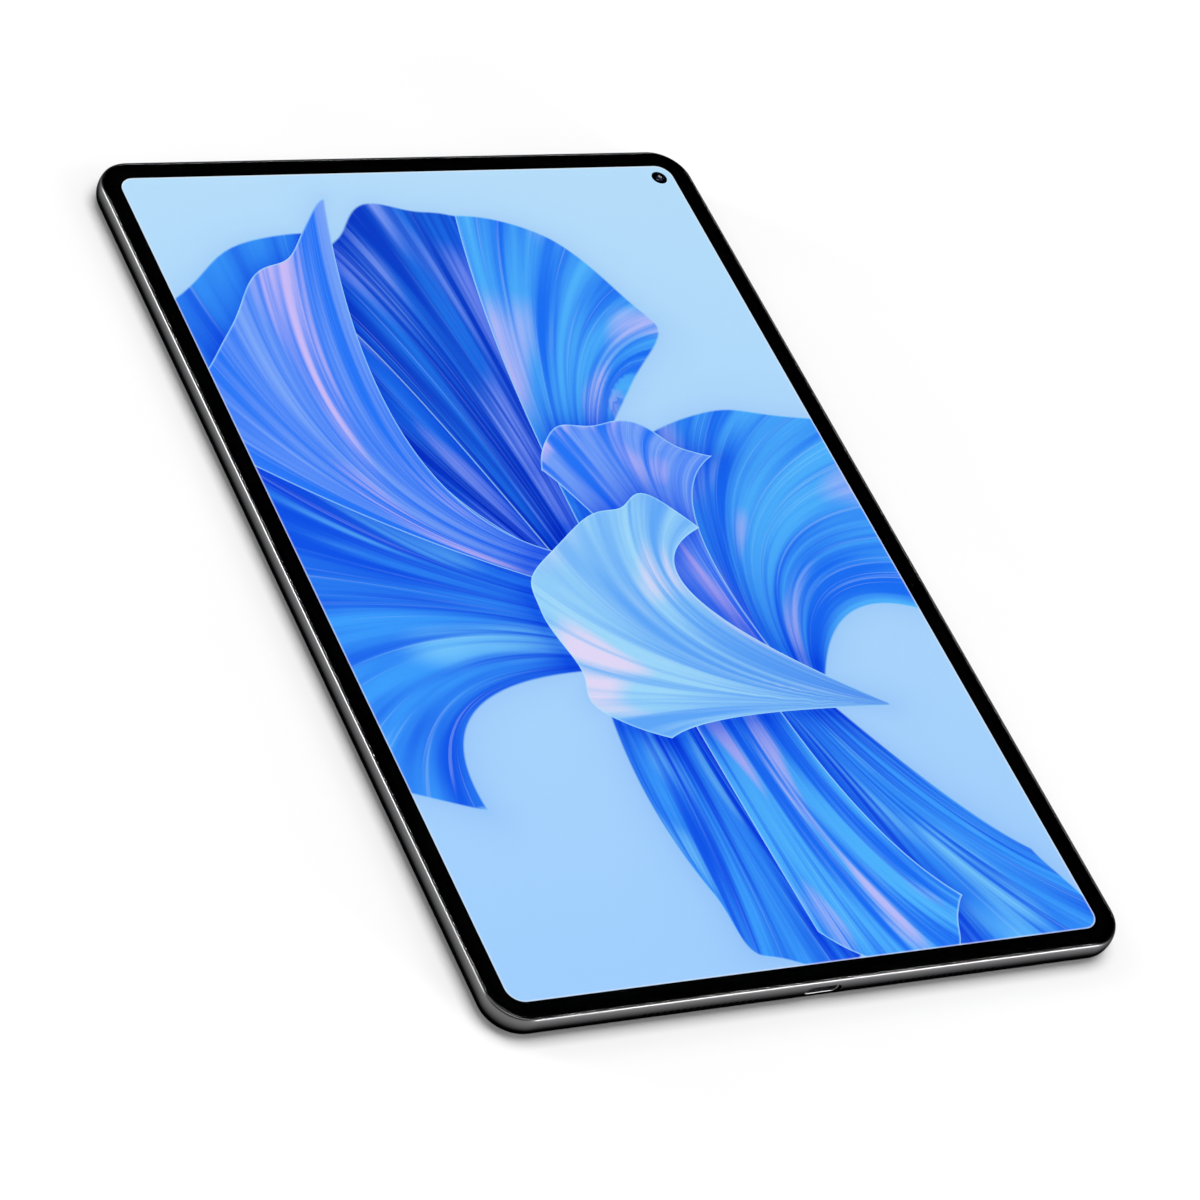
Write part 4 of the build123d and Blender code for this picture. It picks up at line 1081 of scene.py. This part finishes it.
def lens_glass(name, tint):
    """Coated lens: dark body with a thin coloured coat on it."""
    n = Nodes(name)
    fine = n.noise(n.place(), 2.0, 2.0)
    share = n.stretch(fine, 0.3, 0.7, 0.0, 0.4)
    n.colour(n.mix(share, tint, (0.004, 0.004, 0.006, 1)))
    n.set("Roughness", 0.04)
    n.set("Coat Weight", 1.0)
    n.set("Specular IOR Level", 0.8)
    return n.material


def dome(radius, height, rim_level, centre, up=1):
    """Spherical cap standing on a flat base."""
    rings = 10
    sphere = (radius ** 2 + height ** 2) / (2 * height)
    limit = math.degrees(math.asin(min(1, radius / sphere)))
    profile = []
    for k in range(rings + 1):
        angle = math.radians(limit * (1 - 0.97 * k / rings))
        rise = sphere * math.cos(angle) - (sphere - height)
        profile.append((sphere * math.sin(angle), rim_level + up * rise))
    return turned(profile, centre)


def make_front_lens():
    """Dome of the front camera, seen through the punch hole."""
    rim_level = front_lens_high.z - front_dome_drop
    shape = dome(front_dome_radius, front_dome_height, rim_level, front_lens_middle)
    glass = add_object("front_camera_glass", *shape, MATERIALS["camera_lens"])
    smooth(glass)


# ---- Metal frame ----
def side_skin():
    """(outward, height) of the smooth outside, from the rear rim up to the lip's flat top."""
    lower_steps, upper_steps, blend_steps = 28, 32, 8
    lower = []
    for k in range(lower_steps + 1):
        angle = math.radians(270 + 90 * k / lower_steps)
        outward = -rim_inset + (side_bulge + rim_inset) * math.cos(angle)
        lower.append((outward, side_widest * (1 + math.sin(angle))))
    roll_height = glass_top - side_widest
    limit = math.asin((lip_top - side_widest) / roll_height)
    upper = []
    for k in range(1, upper_steps + 1):
        angle = limit * k / upper_steps
        outward = side_bulge - lip_roll_width + lip_roll_width * math.cos(angle)
        upper.append((outward, side_widest + roll_height * math.sin(angle)))
    corner = upper[-1]
    while math.dist(upper[-1], corner) < lip_blend:
        upper.pop()
    before = upper[-1]
    after = (corner[0] - lip_blend * 0.6, corner[1])
    blend = []
    for k in range(1, blend_steps + 1):
        t = k / blend_steps
        blend.append(tuple(
            (1 - t) ** 2 * a + 2 * t * (1 - t) * c + t * t * b for a, c, b in zip(before, corner, after)
        ))
    return lower + upper + blend


def frame_profile():
    """Whole closed section of the frame ring, starting with its outside."""
    ledge = glass_bottom - tape_thickness
    inner = [
        (glass_gap, lip_top),
        (glass_gap, ledge),
        (-wall_inset, ledge),
        (-wall_inset, cover_seat_high),
        (-cover_seat_depth, cover_seat_high),
        (-cover_seat_depth, cover_seat_low),
        (-rim_inner, cover_seat_low),
        (-rim_inner, rim_bevel),
        (-rim_inner + rim_bevel, 0),
    ]
    return side_skin() + inner


def flared_cutter(section, skin, back, flare):
    """Cutter through a side wall that widens a little at the skin.
    section(outward, extra) gives one ring of it."""
    depths = ((back, 0), (skin - flare, 0), (skin, flare), (skin + flare, 2 * flare))
    return stack_rings([section(outward, extra) for outward, extra in depths])


def round_cutter(place, along, level, radius, skin, back):
    """Cutter for a round hole in a side."""
    def section(outward, extra):
        return round_ring(place, along, level, radius + extra, outward, 24)
    return flared_cutter(section, skin, back, hole_flare)


def slot_cutter(place, along, level, length, height, skin, back, flare=hole_flare):
    """Cutter for a round-ended slot in a side."""
    def section(outward, extra):
        return bar_ring(place, along, level, length + 2 * extra, height + 2 * extra, outward, 12)
    return flared_cutter(section, skin, back, flare)


def skin_at(level):
    """How far out the side's skin stands at a height below its widest line."""
    return -rim_inset + (side_bulge + rim_inset) * math.sqrt(1 - ((side_widest - level) / side_widest) ** 2)


def speaker_rows():
    """(side, middle) of each row of speaker holes."""
    rows = []
    for node, place in (
        ("speaker_top_left", top_side), ("speaker_top_right", top_side),
        ("speaker_bottom_left", bottom_side), ("speaker_bottom_right", bottom_side),
    ):
        low, high = millimetre_box(node)
        rows.append((place, (low.x + high.x) / 2))
    return rows


def boss_places():
    """Middles of the screw bosses under the shelf, with the level that each reaches down to."""
    board_low, board_high = millimetre_box("main_board")
    middle = (board_low + board_high) / 2
    reach = (board_high - board_low) / 2 - Vector((board_screw_inset, board_screw_inset, 0))
    places = [
        ((middle.x + i * reach.x, middle.y + j * reach.y), board_high.z) for i in (-1, 0, 1) for j in (-1, 1)
    ]
    usb_screw_y = -(half_h - wall_inset - usb_screw_from_edge)
    places += [((side * usb_screw_x, usb_screw_y), board_high.z) for side in (-1, 1)]
    _, bracket_high = millimetre_box("camera_bracket")
    bracket_x = island[0] - bracket_ear_offset
    return places + [((bracket_x, y), bracket_high.z) for y in (main_lens_middle[1], wide_middle[1])]


def shelf_openings(low, high):
    """Cutters for the cameras, the light sensor and the display flex."""
    cutters = []
    for node in ("front_camera", "main_camera_sensor", "wide_camera", "light_sensor"):
        node_low, node_high = millimetre_box(node)
        size = node_high - node_low + Vector((2 * fit_gap, 2 * fit_gap, 0))
        middle = (node_low + node_high) / 2
        cutters.append(flat_plate(size.x, size.y, fit_gap, low, high, middle))
    flex_low, flex_high = millimetre_box("display_flex")
    flex_width = flex_high.x - flex_low.x + 2 * flex_slot_margin
    flex_depth = flex_thickness + 2 * flex_slot_margin
    flex_middle = Vector(((flex_low.x + flex_high.x) / 2, flex_low.y + flex_thickness / 2, 0))
    cutters.append(flat_plate(flex_width, flex_depth, fit_gap, low, high, flex_middle))
    return cutters


def side_cutters():
    """Cutters for the socket, speakers, microphones and keys."""
    skin = skin_at(port_level)
    back = -wall_inset - wall_margin
    cutters = []
    for place, middle in speaker_rows():
        for k in range(speaker_holes):
            along = middle + (k - (speaker_holes - 1) / 2) * speaker_hole_pitch
            cutters.append(round_cutter(place, along, port_level, speaker_hole_radius, skin, back))
    for along in (0, -power_middle):
        cutters.append(round_cutter(top_side, along, port_level, microphone_hole_radius, skin, back))
    shell = shell_high - shell_low
    port_size = (shell.x + fit_gap, shell.z + fit_gap)
    cutters.append(slot_cutter(bottom_side, 0, port_level, *port_size, skin, -port_depth, port_flare))
    slot_height = key_height + 2 * key_gap
    keys = ((top_side, power_middle, power_length), (right_side, volume_middle, volume_length))
    for place, middle, length in keys:
        cutters.append(slot_cutter(place, middle, key_level, length + 2 * key_gap, slot_height, skin, back))
    return cutters


def make_frame():
    """Swept ring with its shelf and bosses, cut for the socket, keys, speakers, microphones and screws."""
    profile = frame_profile()
    cushion_low, _ = millimetre_box("display_cushion")
    shelf_top = cushion_low.z
    shelf_bottom = shelf_top - shelf_thickness
    inset = wall_inset - wall_overlap
    parts = [
        stack_rings([outline_ring(outward, level, 32) for outward, level in profile], closed=True),
        stack_rings([outline_ring(-inset, level, 8) for level in (shelf_bottom, shelf_top)]),
    ]
    bosses, threads = [], []
    for place, low in boss_places():
        bosses.append(turned([(boss_radius, low), (boss_radius, shelf_bottom + cut_margin)], place, 32))
        threads.append(turned([(thread_radius, low - cut_margin), (thread_radius, shelf_bottom)], place, 24))
    parts.append(join_parts(bosses))
    cutters = [
        join_parts(side_cutters()), join_parts(threads),
        join_parts(shelf_openings(shelf_bottom - cut_margin, shelf_top + cut_margin)),
    ]
    frame_ring = fuse("mid_frame_body", parts, MATERIALS["graphite_frame"], cutters=cutters)
    set_skin_normals(frame_ring.data, profile)
    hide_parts("mid_frame")


def set_skin_normals(mesh, profile):
    """Exact normals on the swept skin, so that cut faces shade as smoothly as whole ones."""
    smooth_turn, sharp_turn = math.radians(20), math.radians(30)
    on_skin = 0.004  # a point further than this from a segment counts as off it
    gap_weight, least_match = 50, 0.9
    points = np.array(profile)
    following = np.roll(points, -1, axis=0)
    step = following - points
    length = np.linalg.norm(step, axis=1)
    segment_normal = np.stack([step[:, 1], -step[:, 0]], axis=1) / length[:, None]
    previous_normal = np.roll(segment_normal, 1, axis=0)
    joined = (segment_normal * previous_normal).sum(axis=1) > math.cos(smooth_turn)
    average = segment_normal + previous_normal
    average /= np.linalg.norm(average, axis=1)[:, None]
    start_normal = np.where(joined[:, None], average, segment_normal)
    end_normal = np.where(np.roll(joined, -1)[:, None], np.roll(average, -1, axis=0), segment_normal)

    mesh.shade_smooth()
    mesh.set_sharp_from_angle(angle=sharp_turn)
    normals = np.zeros((len(mesh.loops), 3))
    core = np.array([half_w - glass_corner, half_h - glass_corner])
    for face in mesh.polygons:
        face_normal = np.array(face.normal)
        for loop in face.loop_indices:
            position = np.array(mesh.vertices[mesh.loops[loop].vertex_index].co) / MM
            beyond = np.abs(position[:2]) - core
            sign = np.sign(position[:2])
            if beyond[0] > 0 and beyond[1] > 0:
                reach = np.linalg.norm(beyond)
                outward = beyond / reach * sign
                depth = reach - glass_corner
            else:
                axis = int(beyond[1] > beyond[0])
                outward = np.zeros(2)
                outward[axis] = sign[axis]
                depth = beyond[axis] - glass_corner
            here = np.array([depth, position[2]])
            t = np.clip(((here - points) * step).sum(axis=1) / length ** 2, 0, 1)
            gap = np.linalg.norm(here - points - t[:, None] * step, axis=1)
            flat = np.array([face_normal[:2] @ outward, face_normal[2]])
            match = segment_normal @ flat - gap_weight * np.maximum(gap - on_skin, 0)
            best = int(np.argmax(match))
            if match[best] < least_match:
                continue
            normal = (1 - t[best]) * start_normal[best] + t[best] * end_normal[best]
            normals[loop] = (normal[0] * outward[0], normal[0] * outward[1], normal[1])
    mesh.normals_split_custom_set(normals.tolist())


# ---- Rear cover and camera island ----
def make_rear_cover():
    """Flat rear panel with softened edges and the camera island's hole."""
    edge = 0.1
    inset = half_w - cover_high.x
    width, length = island_width + fit_gap, island_length + fit_gap
    rings = [outline_ring(-inset - edge, 0), outline_ring(-inset, edge), outline_ring(-inset, cover_high.z)]
    hole = stack_rings([
        pill_ring(width + 4 * edge, length + 4 * edge, -edge, island),
        pill_ring(width, length, edge, island),
        pill_ring(width, length, cover_high.z + 1, island),
    ])
    cover = fuse("rear_cover_panel", [stack_rings(rings)], MATERIALS["graphite_cover"], cutters=[hole])
    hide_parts("rear_cover")
    smooth(cover)


def island_ring(outward, level):
    """The camera island's outline, moved outwards."""
    return pill_ring(island_width + 2 * outward, island_length + 2 * outward, level, island, 32)


def make_bezel():
    """Turned metal rim of the camera island, with the ledge for its window and a flange inside."""
    rear = bezel_low.z
    inner = -window_border
    ledge = inner - window_ledge
    flange_top = bezel_high.z
    flange_low = flange_top - island_flange_thickness
    section = [(0, flange_low)]
    section += arc_pairs((-island_edge_radius, rear + island_edge_radius), island_edge_radius, 0, -90, 12)
    section += [
        (inner + 0.06, rear), (inner, rear + 0.06), (inner, window_high.z), (ledge, window_high.z),
        (ledge, flange_top), (island_flange, flange_top), (island_flange, flange_low),
    ]
    rings = [island_ring(outward, level) for outward, level in section]
    bezel = add_object("camera_bezel_rim", *stack_rings(rings, closed=True), MATERIALS["bezel_metal"])
    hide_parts("camera_bezel")
    smooth(bezel)


def make_camera_window():
    """Glass of the island, and the black mask printed behind it with an opening for each camera."""
    outward = -window_border - contact_gap
    edge = 0.08
    rings = [
        island_ring(outward - edge, window_low.z),
        island_ring(outward - edge * 0.3, window_low.z + edge * 0.3),
        island_ring(outward, window_low.z + edge),
        island_ring(outward, window_high.z),
    ]
    window = add_object("camera_window_glass", *stack_rings(rings), MATERIALS["camera_window"])
    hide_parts("camera_window")
    smooth(window)

    low, high = window_high.z + 0.004, window_high.z + 0.02
    mask_rings = [island_ring(-window_border - window_ledge - 0.02, level) for level in (low, high)]
    apertures = ((main_aperture, main_lens_middle), (wide_aperture, wide_middle), (flash_aperture, island))
    openings = [
        turned([(radius, low - cut_margin), (radius, high + cut_margin)], middle)
        for radius, middle in apertures
    ]
    mask = fuse("camera_mask", [stack_rings(mask_rings)], INK, cutters=[join_parts(openings)])
    smooth(mask)


def barrel_profile(radius, low, high):
    """Lens barrel: its mouth narrows in steps, which stop stray light."""
    floor = low + lens_cup_depth
    mouth = radius - 0.3
    steps = 6
    profile = [(mouth - lens_cup_slope, floor)]
    for k in range(steps):
        level = floor - lens_cup_depth * (k + 1) / steps
        across = mouth - lens_cup_slope * (1 - (k + 1) / steps)
        profile += [(across, level + lens_cup_depth / steps), (across, level)]
    return profile + [(radius - 0.08, low), (radius, low + 0.08), (radius, high)]


def make_rear_lenses():
    """Main and wide cameras behind the window: barrels, coated front glass and the flash."""
    profile = barrel_profile(main_barrel_radius, main_lens_low.z, main_lens_high.z)
    barrel = add_object(
        "main_lens_barrel", *turned(profile, main_lens_middle, 64), MATERIALS["black_plastic"], "focus_barrel"
    )
    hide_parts("main_camera_lens")
    smooth(barrel)
    floor = main_lens_low.z + lens_cup_depth
    shape = dome(main_barrel_radius - lens_rim_width, 0.45, floor - 0.01, main_lens_middle, -1)
    glass = add_object("main_lens_glass", *shape, MATERIALS["camera_lens"], "focus_barrel")
    smooth(glass)

    size = wide_high.x - wide_low.x
    profile = barrel_profile(wide_barrel_radius, wide_low.z, camera_low + 0.3)
    body = fuse(
        "wide_camera_body",
        [flat_plate(size, size, 0.3, camera_low, wide_high.z, wide_middle), turned(profile, wide_middle, 64)],
        MATERIALS["black_plastic"],
    )
    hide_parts("wide_camera")
    smooth(body)
    floor = wide_low.z + lens_cup_depth
    shape = dome(wide_barrel_radius - lens_rim_width, 0.4, floor - 0.01, wide_middle, -1)
    glass = add_object("wide_lens_glass", *shape, MATERIALS["camera_lens"])
    smooth(glass)

    base = flash_high.x - flash_low.x
    lens_top = flash_high.z - island_flange_thickness
    profile = [(0.25, flash_low.z + 0.02), (0.45, flash_low.z + 0.06)]
    for k in range(5):
        radius = 0.5 + 0.25 * k
        profile += [(radius, flash_low.z + 0.01), (radius + 0.22, flash_low.z + 0.08)]
    profile += [(flash_radius - 0.1, flash_low.z), (flash_radius, flash_low.z + 0.1)]
    profile.append((flash_radius, lens_top + cut_margin))
    flash = fuse(
        "flash_lens",
        [turned(profile, island, 64), flat_plate(base, base, 0.2, lens_top, flash_high.z, island)],
        MATERIALS["flash_diffuser"],
    )
    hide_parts("flash_module")
    smooth(flash, 25)


# ---- Keys ----
def key_bar(place, along, length, back, face, recess=None):
    """Round-ended key with softened face edges and, if asked, a recess in its face."""
    rings = [bar_ring(place, along, key_level, length, key_height, back)]
    for outward, level in arc_pairs((-key_face_radius, face - key_face_radius), key_face_radius, 0, 90, 8):
        rings.append(bar_ring(place, along, key_level, length + 2 * outward, key_height + 2 * outward, level))
    if recess:
        recess_length, recess_height, depth = recess
        edge = 0.03
        for extra, level in ((edge, face), (0, face - edge), (0, face - depth)):
            rings.append(
                bar_ring(place, along, key_level, recess_length + 2 * extra, recess_height + 2 * extra, level)
            )
    return stack_rings(rings)


def make_power_key():
    """Power key with its flange and nub, and the fingerprint sensor set in its face."""
    face = power_high.y - half_h
    nub_back = power_low.y - half_h
    flange_back = nub_back + key_nub_length
    flange_front = flange_back + key_flange_thickness
    sensor = sensor_high - sensor_low
    recess = (sensor.x + 2 * contact_gap, sensor.z + 2 * contact_gap, sensor_depth)
    key = fuse(
        "power_key_cap",
        [
            key_bar(top_side, power_middle, power_length, flange_front - cut_margin, face, recess),
            side_block(
                top_side, power_middle, key_level, power_high.x - power_low.x, key_flange_height, flange_back,
                flange_front,
            ),
            side_rod(top_side, power_middle, key_level, key_nub_radius, nub_back, flange_back + cut_margin),
        ],
        MATERIALS["graphite_key"], "power_button",
    )
    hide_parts("power_key")
    smooth(key)

    low = sensor_low.y - half_h
    high = sensor_high.y - half_h
    section = (
        (0, low), (0, high - 0.03), (0.03, high), (0.14, high), (0.3, high - 0.035), (0.55, high - 0.05),
    )
    rings = [
        bar_ring(top_side, power_middle, key_level, sensor.x - 2 * inset, sensor.z - 2 * inset, outward)
        for inset, outward in section
    ]
    pad = add_object("fingerprint_pad", *stack_rings(rings), MATERIALS["sensor_glaze"], "power_button")
    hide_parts("fingerprint_sensor")
    smooth(pad)


def make_volume_key():
    """Volume rocker with its flange, two nubs and the eye for its pin."""
    face = volume_high.x - half_w
    pivot = (volume_low.x + rocker_eye_radius, volume_middle)
    flange_back = pivot[0] - half_w + rocker_eye_depth
    flange_front = flange_back + key_flange_thickness
    nub_back = flange_back - key_nub_length
    eye_low = key_level - rocker_eye_height / 2
    eye_high = key_level + rocker_eye_height / 2
    neck = (pivot[0] + rocker_eye_depth / 2, volume_middle)
    pin_hole = [(rocker_pin_hole, eye_low - cut_margin), (rocker_pin_hole, eye_high + cut_margin)]
    nub_front = flange_back + cut_margin
    nubs = [
        side_rod(right_side, volume_middle + y, key_level, key_nub_radius, nub_back, nub_front)
        for y in (-volume_nub_y, volume_nub_y)
    ]
    key = fuse(
        "volume_rocker_cap",
        [
            key_bar(right_side, volume_middle, volume_length, flange_front - cut_margin, face),
            side_block(
                right_side, volume_middle, key_level, volume_high.y - volume_low.y, key_flange_height,
                flange_back, flange_front,
            ),
            join_parts(nubs),
            flat_plate(rocker_eye_depth + 0.2, rocker_neck_width, 0.05, eye_low, eye_high, neck),
            turned([(rocker_eye_radius, eye_low), (rocker_eye_radius, eye_high)], pivot),
        ],
        MATERIALS["graphite_key"], "volume_button",
        [turned(pin_hole, pivot, 32)],
    )
    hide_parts("volume_rocker")
    smooth(key)


# ---- USB-C socket ----
def make_socket():
    """Rolled steel shell, the tongue in it, and the plated contacts on both sides of the tongue."""
    shell = shell_high - shell_low
    front = -shell_low.y - half_h
    back = -shell_high.y - half_h
    half_wall = shell_wall / 2
    section = [(0, back)]
    section += arc_pairs((-half_wall, front - half_wall), half_wall, 0, 180, 12)
    section += [(-shell_wall, back)]
    rings = [
        bar_ring(bottom_side, 0, port_level, shell.x + 2 * inset, shell.z + 2 * inset, outward, 24)
        for inset, outward in section
    ]
    skin = add_object("usb_shell_sleeve", *stack_rings(rings, closed=True), MATERIALS["port_steel"])
    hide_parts("usb_shell")
    smooth(skin)

    tip = -tongue_low.y - half_h
    base = tongue_high - tongue_low
    base_front = back + tongue_base_length
    edge = 0.12
    tongue = [
        rectangle_ring(bottom_side, 0, port_level, tongue_width, tongue_thickness, base_front - cut_margin),
        rectangle_ring(bottom_side, 0, port_level, tongue_width, tongue_thickness, tip - edge),
        rectangle_ring(bottom_side, 0, port_level, tongue_width - 2 * edge, tongue_thickness - 2 * edge, tip),
    ]
    base_rings = [
        bar_ring(bottom_side, 0, port_level, base.x, base.z, outward, 24) for outward in (back, base_front)
    ]
    body = fuse("usb_tongue_body", [stack_rings(base_rings), stack_rings(tongue)], MATERIALS["black_plastic"])
    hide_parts("usb_tongue")
    smooth(body)

    contacts = []
    for k in range(contact_count):
        along = (k - (contact_count - 1) / 2) * contact_pitch
        for side in (-1, 1):
            level = port_level + side * tongue_thickness / 2
            contacts.append(
                side_block(
                    bottom_side, along, level, contact_width, contact_height,
                    base_front + contact_inset, tip - contact_tip_gap,
                )
            )
    pads = add_object("usb_contacts", *join_parts(contacts), gold_plate())


# ---- Stage ----
def make_stage():
    """Pale floor, soft lights and the camera."""
    n = Nodes("pale_floor")
    fine = n.noise(n.place(), 0.02, 2.0)
    n.colour(n.mix(fine, (0.90, 0.90, 0.90, 1), (0.93, 0.93, 0.93, 1)))
    n.set("Roughness", 0.9)
    n.set("Specular IOR Level", 0.0)
    reach = 4000.0
    level = cad_box[0][2] / MM
    corners = [(-reach, -reach, level), (reach, -reach, level), (reach, reach, level), (-reach, reach, level)]
    floor = add_object("floor", corners, [(0, 1, 2, 3)], n.material, body=None)

    def soft_light(name, place, size_x, size_y, radiance):
        data = bpy.data.lights.new(name, "AREA")
        data.shape = "RECTANGLE"
        data.size = size_x * MM
        data.size_y = size_y * MM
        data.energy = radiance * math.pi * data.size * data.size_y
        light = bpy.data.objects.new(name, data)
        light.location = Vector(place) * MM
        light.rotation_euler = (-Vector(place)).to_track_quat("-Z", "Y").to_euler()
        bpy.context.scene.collection.objects.link(light)

    soft_light("overhead", (0, 0, 2500), 1800, 1800, 4.8)
    soft_light("left_back", (-950, 850, 1000), 700, 500, 2.0)
    soft_light("right_front", (850, -950, 1000), 700, 500, 2.0)
    soft_light("left_strip", (-1245, 810, 140), 560, 190, 44)
    soft_light("front_strip", (780, -1260, 140), 560, 190, 44)

    world = bpy.data.worlds.new("studio")
    world.use_nodes = True
    background = world.node_tree.nodes["Background"]
    background.inputs["Color"].default_value = (1, 1, 1, 1)
    background.inputs["Strength"].default_value = 0.25
    world.cycles_visibility.glossy = False
    world.cycles_visibility.transmission = False
    bpy.context.scene.world = world

    # Lens, turn and place are fitted to the screen's corners as the photograph shows them.
    camera_data = bpy.data.cameras.new("camera")
    camera_data.lens = 139.73
    camera_data.sensor_width = 36.0
    camera_data.clip_start = 0.05
    camera = bpy.data.objects.new("camera", camera_data)
    right = Vector((0.85202, -0.38915, 0.35016))
    up = Vector((0.0679, 0.74539, 0.66316))
    turn = Matrix((right, up, right.cross(up))).transposed()
    camera.matrix_world = Matrix.Translation(Vector((-537.02, -569.35, 681.48)) * MM) @ turn.to_4x4()
    bpy.context.scene.collection.objects.link(camera)
    bpy.context.scene.camera = camera
    bpy.context.scene.view_settings.view_transform = "Standard"


MATERIALS = slot_materials()
INK = black_ink()
dress_nodes()
make_stage()
make_picture()
make_cover_glass()
make_border()
make_front_lens()
make_frame()
make_rear_cover()
make_bezel()
make_camera_window()
make_rear_lenses()
make_power_key()
make_volume_key()
make_socket()
